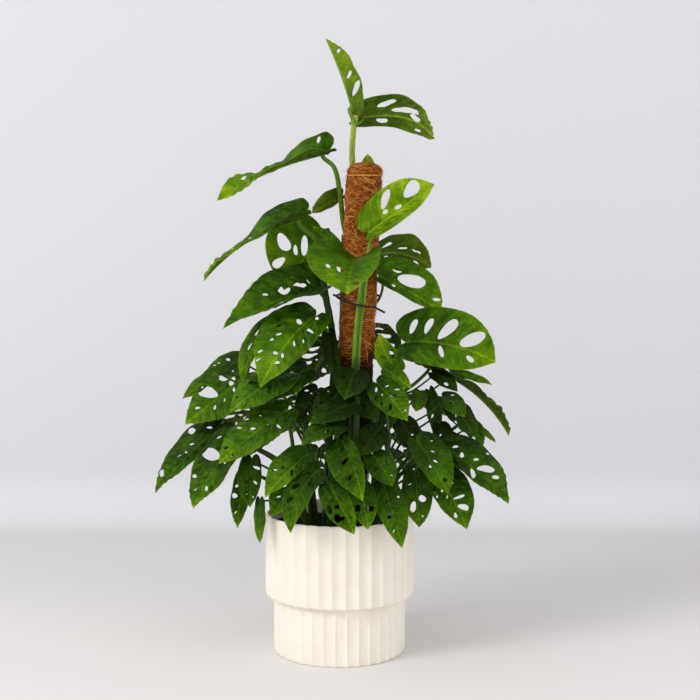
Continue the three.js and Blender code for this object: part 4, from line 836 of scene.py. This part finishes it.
def blade_mesh(leaf, shape):
    """Adds one blade: a fine two-sided skin with its holes, and the midrib standing out below."""
    faces, u, v, inward = flat_mesh(leaf)
    middle = leaf.surface(u, v)
    along = leaf.surface(u + SURFACE_STEP, v) - leaf.surface(u - SURFACE_STEP, v)
    across = leaf.surface(u, v + SURFACE_STEP) - leaf.surface(u, v - SURFACE_STEP)
    normal = unit(np.cross(across, along))
    rib = np.exp(-((np.abs(v) * leaf.half(v) / RIB_WIDTH) ** 2)) * (1 - 0.7 * np.clip(u, 0, 1))
    rib = rib * leaf.length / 100
    top = middle + normal * HALF_SKIN
    under = middle - normal * (HALF_SKIN + rib)[:, None]
    count = len(middle)
    sides = [(p, q) for f in faces.tolist() for p, q in zip(f, f[1:] + f[:1])]
    seen = set(sides)
    rim = [(p, q) for p, q in sides if (q, p) not in seen]
    walls = [(q, p, p + count) for p, q in rim] + [(q, p + count, q + count) for p, q in rim]
    inward = np.clip(inward / MARGIN, 0, 1)
    shape.add(
        np.concatenate([top, under]),
        np.concatenate([faces, faces[:, ::-1] + count, walls]),
        np.repeat([0, 1], [len(faces), len(faces) + len(walls)]),
        blade=np.tile(np.stack([u, v / 2 + 0.5], -1), (2, 1)),
        growth=np.tile(np.stack([np.full(count, leaf.age_and_shade), inward], -1), (2, 1)))


# ---- stems and petioles ----
def petiole_route(leaf):
    """The petiole's points from the stem to the blade's base, met on the side that the stem is on."""
    base, normal, _ = leaf.rib(PETIOLE_SEAT)
    if leaf.name in PETIOLE_ROUTES:
        return [*PETIOLE_ROUTES[leaf.name], base - normal * SEAT_DEPTH, base]
    route = STEMS[leaf.stem][1]
    reach = math.hypot(base[0] - route[1][0], base[1] - route[1][1])
    lowest = base[2] - PETIOLE_SLOPE * reach - PETIOLE_DROP
    height = min(max(lowest, SOIL_TOP + FOOT_CLEAR), route[-1][2] - TOP_CLEAR)
    stem = smooth_route(route, STEM_LOOK)
    root = stem[np.argmin(np.abs(stem[:, 2] - height))]
    span = np.linalg.norm(base - root)
    side = 1 if np.dot(root - base, normal) > 0 else -1
    seat = base + normal * side * SEAT_DEPTH
    rise = root + (0, 0, PETIOLE_RISE * span)
    rise = rise + (seat - rise) * PETIOLE_LEAN
    arrive = seat + normal * side * PETIOLE_ARRIVAL * span
    points = [root]
    for t in (0.33, 0.66):
        s = 1 - t
        points.append(root * s ** 3 + rise * 3 * s * s * t + arrive * 3 * s * t * t + seat * t ** 3)
    return points + [seat, base]


def blades(name, leaves):
    """A shoot's blades."""
    skins = Shape()
    for leaf in leaves:
        blade_mesh(leaf, skins)
    skins.piece("blades_" + name, [LEAF_TOP, LEAF_UNDER], ["shoot_" + name], "monstera_leaf", sharp=55)


def stems(name, leaves):
    """A shoot's stem with the petioles of its leaves."""
    green = Shape()
    radius, route = STEMS[name]
    points = smooth_route(route, STEM_STEPS)
    place = np.arange(STEM_STEPS + 1) / STEM_STEPS
    length = np.linalg.norm(np.diff(points, axis=0), axis=1).sum()
    knots = np.maximum(0, np.cos(place * length / KNOT_SPACING * 2 * math.pi) - 0.86) / 0.14
    # thicker at its knots, and a tenth thinner at its end than at its foot
    body, faces = tube(points, radius * (0.98 + 0.12 * knots) * (1 - 0.1 * place), STEM_SIDES)
    low, high = STEM_TONES.get(name, USUAL_TONES)
    light = np.clip((points[:, 2] - SHADE_TOP) / SHADE_FADE, 0, 1)
    tone = low + (high - low) * np.repeat(light * (0.6 + 0.4 * place), STEM_SIDES)
    # the sheath's line runs a little right of the middle
    across = (body[:-2, 0] - np.repeat(points[:, 0], STEM_SIDES)) / radius
    tone = tone - SHEATH_LINE.get(name, 0.0) * np.exp(-(((across - 0.15) / 0.35) ** 2))
    green.add(body, faces, growth=np.stack([np.append(tone, [low, high]), np.zeros(len(body))], -1))
    place = np.arange(PETIOLE_STEPS + 1) / PETIOLE_STEPS
    # a petiole tapers, with a sheath at its foot and a joint just below the blade
    taper = 1.0 - 0.3 * place + 0.12 * np.exp(-((place - 0.95) / 0.05) ** 2) + 0.3 * np.exp(-place / 0.06)
    for leaf in leaves:
        thick = STOUT_PETIOLES.get(leaf.name, 1 + 0.012 * leaf.length)
        body, faces = tube(smooth_route(petiole_route(leaf), PETIOLE_STEPS), thick * taper, PETIOLE_SIDES)
        green.add(body, faces, growth=(0.12 + 0.7 * leaf.age_and_shade, 0))
    green.piece("stems_" + name, [STEM_SKIN], ["shoot_" + name], "monstera_leaf")


# ---- pot ----
def pot():
    """Two fluted tiers with a ledge between them, plain inside."""
    def radius_at(radius, kind, turn):
        """Kind is how deep the flutes are cut there: over 0 on the upper tier, under 0 on the lower."""
        if kind == 0:
            return np.full(len(turn), float(radius))
        phase, depth, power = (4.8, 3.2, 2.0) if kind > 0 else (6.8, 2.4, 3.0)
        across = ((np.degrees(turn) - phase) * FLUTES / 360) % 1
        dip = 1 - np.abs(2 * across - 1) ** power
        return radius - abs(kind) * depth * dip

    profile = [(LOWER - 6, 0, 0), (LOWER - 1.6, 0.0, -1), (LOWER - 0.5, 0.6, -1), (LOWER, 1.8, -1)]
    profile += [(LOWER, z, -1) for z in np.linspace(8, LEDGE - 4, 10)]
    profile += [(LOWER, LEDGE - 0.6, -1), (LOWER + 2, LEDGE, 0.5), (UPPER - 1.2, LEDGE + 0.2, 1),
                (UPPER - 0.3, LEDGE + 0.7, 1), (UPPER, LEDGE + 2, 1)]
    profile += [(UPPER, z, 1) for z in np.linspace(LEDGE + 8, POT_TOP - 8, 12)]
    profile += [(UPPER, POT_TOP - 2, 1), (UPPER - 0.3, POT_TOP - 0.9, 1), (UPPER - 1.1, POT_TOP - 0.2, 1),
                (UPPER - 2, POT_TOP, 0.6)]
    # the plain inside, from the rounded lip down to the floor
    profile += [(UPPER_BORE + 1.4, POT_TOP - 0.1, 0.1), (UPPER_BORE + 0.5, POT_TOP - 0.7, 0),
                (UPPER_BORE + 0.1, POT_TOP - 2, 0), (UPPER_BORE, 120, 0), (UPPER_BORE, LEDGE + 6, 0),
                (LOWER_BORE, LEDGE - 3, 0), (LOWER_BORE, POT_FLOOR, 0)]
    body = Shape()
    body.add(*turned(profile, FLUTES * 10, radius_at))
    body.piece("fluted_pot", [GLAZE], ["pot"], "pot_ceramic", sharp=50)


# ---- coir pole ----
def pole_axis(z):
    return POLE_X + POLE_LEAN * z


def sleeve_radius(z, turn):
    """The sleeve's radius: a little lumpy, drawn in by the twine, rounded off at the top."""
    body = SLEEVE + 0.5 * np.sin(3 * turn + z * 0.11) + 0.4 * np.sin(5 * turn - z * 0.23)
    body = body - 1.2 * np.exp(-((z - PINCH) / 4) ** 2)
    crown = np.clip((z - (SLEEVE_TOP - CROWN)) / CROWN, 0, 1)
    return body * np.sqrt(np.clip(1 - crown ** 2.4, 0, 1))


def sleeve_shade(z):
    """How much darker the sleeve is painted at a height: shade where the leaves hide it."""
    return 0.9 * np.clip((SLEEVE_SHADE_TOP - z) / SLEEVE_SHADE_FADE, 0, 1)


def coir_sleeve():
    """Felted fibre: a plain core, short fibres that lie round it, and hairs that stand off it."""
    draw = random.Random(41)
    felt = Shape()
    crown = SLEEVE_TOP - CROWN
    heights = [*np.linspace(SLEEVE_FOOT, crown, 130), *(crown + 13.8 * np.sin(np.linspace(0.1, 1.5, 10)))]
    points, faces = turned([(SLEEVE, z, z) for z in heights], 48,
                           lambda radius, z, turn: sleeve_radius(z, turn) - FELT_DEPTH)
    points[:, 0] += pole_axis(points[:, 2])
    # the core is painted darker low down, as shade under the leaves
    felt.add(points, faces, growth=np.stack([0.25 - sleeve_shade(points[:, 2]), np.zeros(len(points))], -1))
    t = np.arange(6) / 5
    for _ in range(FIBRES):
        z0 = draw.uniform(FIBRE_FOOT, SLEEVE_TOP - 2)
        start = draw.uniform(0, 2 * math.pi)
        length = draw.uniform(*FIBRE_LENGTH)
        slope = draw.gauss(0, 0.5)
        lift = draw.uniform(-0.2, 0.7) + (draw.uniform(0, 2.5) if draw.random() < 0.12 else 0)
        curl = draw.uniform(-0.5, 0.5)
        z = z0 + length * np.sin(slope) * (t - 0.5) + 3 * curl * np.sin(3 * t)
        z = np.clip(z, FIBRE_FOOT, SLEEVE_TOP - 1)
        turn = start + length * math.cos(slope) * (t - 0.5) / SLEEVE + 0.1 * curl * np.sin(5 * t)
        off = lift * np.sin(math.pi * t)
        r = sleeve_radius(z, turn) + off
        path = np.stack([pole_axis(z) + r * np.cos(turn), r * np.sin(turn), z + 0.6 * off], -1)
        body, faces = tube(path, draw.uniform(*FIBRE_RADIUS), 3)
        # a fibre low down is painted darker too, as shade under the leaves
        felt.add(body, faces, growth=(draw.uniform(0.2, 0.95) - float(sleeve_shade(z0)), 0))
    t = (np.arange(8) / 7)[:, None]
    for _ in range(HAIRS):
        # half of them stand near the top
        z0 = (SLEEVE_TOP - 4 - abs(draw.gauss(0, 60)) if draw.random() < 0.5
              else draw.uniform(HAIR_FOOT, SLEEVE_TOP - 10))
        start = draw.uniform(0, 2 * math.pi)
        out = draw.uniform(*HAIR_LENGTH)
        drift = np.array([draw.gauss(0, 0.6), draw.gauss(0, 0.6), draw.gauss(0.1, 0.6)])
        ahead = np.array([math.cos(start), math.sin(start), 0.0])
        root = ahead * (float(sleeve_radius(z0, start)) - 1) + (pole_axis(z0), 0, z0)
        path = root + ahead * out * t + drift * out * t * t * draw.uniform(0.4, 1.4)
        body, faces = tube(path, np.linspace(0.16, 0.06, 8), 3)
        felt.add(body, faces, growth=(draw.uniform(0.5, 1.0), 0))
    felt.piece("coir_sleeve", [COIR], ["pole_coir"], "coir_fibre", sharp=180)


def sleeve_twine():
    """Three yarns laid into one twine round the sleeve's neck."""
    yarn, lay, twist = 0.5, 0.55, 24  # a yarn's radius, how far it lies off the middle, and its turns
    twine = Shape()
    loop = np.linspace(0, 2 * math.pi, 121)
    for k in range(3):
        turn = loop * twist + k * 8 * math.pi / 3
        r = SLEEVE + 0.4 + lay * np.cos(turn)
        z = PINCH + lay * np.sin(turn) + 0.6 * np.sin(loop)
        path = np.stack([pole_axis(z) + r * np.cos(loop), r * np.sin(loop), z], -1)
        body, faces = tube(path, yarn, 6)
        twine.add(body, faces, growth=(0.75, 0))
    twine.piece("sleeve_twine", [COIR], ["pole_twine"], "coir_twine")


def plant_tie():
    """A black wire once round the pole and the front stem, with its end laid across."""
    route = [
        (60, -25, 457), (46, -27, 464), (34, -41, 466), (18, -41, 469), (4, -31, 474),
        (-2.6, -14, 477), (-2.6, 8, 479), (8, 24, 480), (26, 28.6, 480), (46, 20, 479), (54, 2, 478),
        (53, -8, 477),
    ]
    end = [(10, -35, 472), (4, -31.5, 475), (-8, -31, 481)]
    wire = Shape()
    for points, steps in ((route, 110), (end, 16)):
        wire.add(*tube(smooth_route(points, steps), 1.5, 10))
    wire.piece("coated_wire_tie", [WIRE], ["plant_tie"], "tie_plastic")


# ---- soil ----
def soil():
    """A bed of peat with loose crumbs on it."""
    draw = random.Random(5)
    bed = Shape()

    def height(x, y):
        swell = 2 * (np.sin(x * 0.21 + 1) * np.cos(y * 0.17) + 0.5 * np.sin(x * 0.09 - y * 0.31))
        return SOIL_TOP + swell + 0.8 * np.sin(x * 0.9) * np.cos(y * 0.8)

    # over the top from its middle to its edge, then down the side to the floor
    turn = round_turn(120)
    rings = []
    for i in range(1, BED_RINGS + 1):
        x, y = UPPER_BED * i / BED_RINGS * np.cos(turn), UPPER_BED * i / BED_RINGS * np.sin(turn)
        rings.append(np.stack([x, y, height(x, y)], -1))
    for radius, z in [(UPPER_BED, 84.5), (LOWER_BED, 75), (LOWER_BED, BED_FLOOR)]:
        rings.append(np.stack([radius * np.cos(turn), radius * np.sin(turn), np.full(len(turn), z)], -1))
    points, faces = closed_rings(rings, [(0, 0, height(0, 0)), (0, 0, BED_FLOOR)])
    # rings listed downwards give faces that look inwards, so these are turned over
    bed.add(points, np.array(faces)[:, ::-1])
    for _ in range(CRUMBS):
        r, turn = 92 * math.sqrt(draw.random()), draw.uniform(0, 2 * math.pi)
        x, y = r * math.cos(turn), r * math.sin(turn)
        size = draw.uniform(*CRUMB_SIZE)
        centre = np.array([x, y, float(height(x, y)) + 0.3 * size])
        corners = np.array([(1, 0, 0), (-1, 0, 0), (0, 1, 0), (0, -1, 0), (0, 0, 1), (0, 0, -1)], float)
        corners = corners * [[draw.uniform(0.6, 1.3)] for _ in range(6)] * size
        sides = [(0, 2, 4), (2, 1, 4), (1, 3, 4), (3, 0, 4), (2, 0, 5), (1, 2, 5), (3, 1, 5), (0, 3, 5)]
        bed.add(centre + corners, sides, growth=(draw.uniform(-0.1, 0.25), 0))
    bed.piece("peat_bed", [PEAT], ["soil"], "potting_soil", sharp=180)


# ---- light, floor and camera, in metres ----
WALL = 0.85  # from the pot back to the wall
WALL_HEIGHT, FLOOR_FRONT, HALF_WIDTH = 5.0, -4.0, 5.0
COVE = 0.1  # radius of the curve between floor and wall
# the paper's tones with painted shade and light: bright on the floor in front, darkest on the floor before
# the cove, one tone up the wall
BACKDROP_WITH_SHADE = [(0.1, "#e8e4e3"), (0.3, "#dedbd9"), (0.45, "#d5d2d2"), (0.6, "#d1cfd0"), (0.7, "#dadade")]
# name, place, what it points at, size and watts
LIGHTS = [
    ("key", (-3.6, -2.8, 3.5), (0, 0.1, 0.4), 2.0, 122),
    ("fill", (2.2, -2.2, 1.4), (0, 0.4, 0.4), 2.0, 9),
]
FRAME_PIXELS, FOCAL_PIXELS, SENSOR = 700, 1320, 36
CAMERA_PLACE, CAMERA_PITCH = (0.0142, -1.7584, 0.5384), 4.31


def backdrop_paper():
    """Matte pale paper, whose tone goes by how far back and how high a spot lies: painted shade darkens the
    floor from the front towards the cove, darkest just before it, and the wall keeps one tone.
    """
    made, tree, place = material("backdrop_paper")
    spot = node(tree, "SeparateXYZ", {}, place)
    reach = node(tree, "Math", PLUS, spot["Y"], spot["Z"])[0]
    tone = node(tree, "MapRange", {}, reach, -0.5, 1.5)[0]
    paper = skin(tree, Roughness=0.8, Base_Color=node(tree, "ValToRGB", {"stops": BACKDROP_WITH_SHADE}, tone)[0])
    # the sheet is clear from behind, so that a view of the plant's back isn't blocked by it
    behind = node(tree, "NewGeometry", {})["Backfacing"]
    show(tree, behind, paper, node(tree, "BsdfTransparent", {})[0])
    return made


def backdrop():
    """One sheet of paper, swept up behind."""
    sweep = np.linspace(0, math.pi / 2, 13)
    cove = [(WALL - COVE * (1 - math.sin(t)), COVE * (1 - math.cos(t))) for t in sweep]
    rows = [(FLOOR_FRONT, 0.0)] + cove + [(WALL, WALL_HEIGHT)]
    points = [(x, y, z) for y, z in rows for x in (-HALF_WIDTH, HALF_WIDTH)]
    strips = [(2 * i, 2 * i + 1, 2 * i + 3, 2 * i + 2) for i in range(len(rows) - 1)]
    mesh = bpy.data.meshes.new("backdrop")
    mesh.from_pydata(points, [], strips)
    mesh.materials.append(backdrop_paper())
    mesh.shade_smooth()
    sheet = bpy.data.objects.new("backdrop", mesh)
    bpy.context.scene.collection.objects.link(sheet)


def studio():
    """Soft daylight, two lamps and the camera."""
    scene = bpy.context.scene
    scene.world = bpy.data.worlds.new("studio")
    scene.world.use_nodes = True
    sky = scene.world.node_tree.nodes["Background"]
    sky.inputs["Color"].default_value = linear("#f6f6f6")
    sky.inputs["Strength"].default_value = 0.9
    for name, place, aim, size, power in LIGHTS:
        lamp = bpy.data.lights.new(name, "AREA")
        lamp.energy, lamp.size = power, size
        light = bpy.data.objects.new(name, lamp)
        light.location = place
        light.rotation_euler = (Vector(aim) - Vector(place)).to_track_quat("-Z", "Y").to_euler()
        scene.collection.objects.link(light)
    camera = bpy.data.objects.new("camera", bpy.data.cameras.new("camera"))
    camera.data.sensor_width = SENSOR
    camera.data.lens = FOCAL_PIXELS / FRAME_PIXELS * SENSOR
    camera.location = CAMERA_PLACE
    camera.rotation_euler = (math.radians(90 - CAMERA_PITCH), 0, 0)
    scene.collection.objects.link(camera)
    scene.camera = camera
    scene.view_settings.view_transform = "Standard"


leaves = [Leaf(turn, *row) for turn, row in enumerate(LEAVES)]
for name in STEMS:
    its_leaves = [leaf for leaf in leaves if leaf.stem == name]
    blades(name, its_leaves)
    stems(name, its_leaves)
pot()
coir_sleeve()
sleeve_twine()
plant_tie()
soil()
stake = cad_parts["pole_stake"]
stake.data.materials.clear()
stake.data.materials.append(STAKE)
backdrop()
studio()
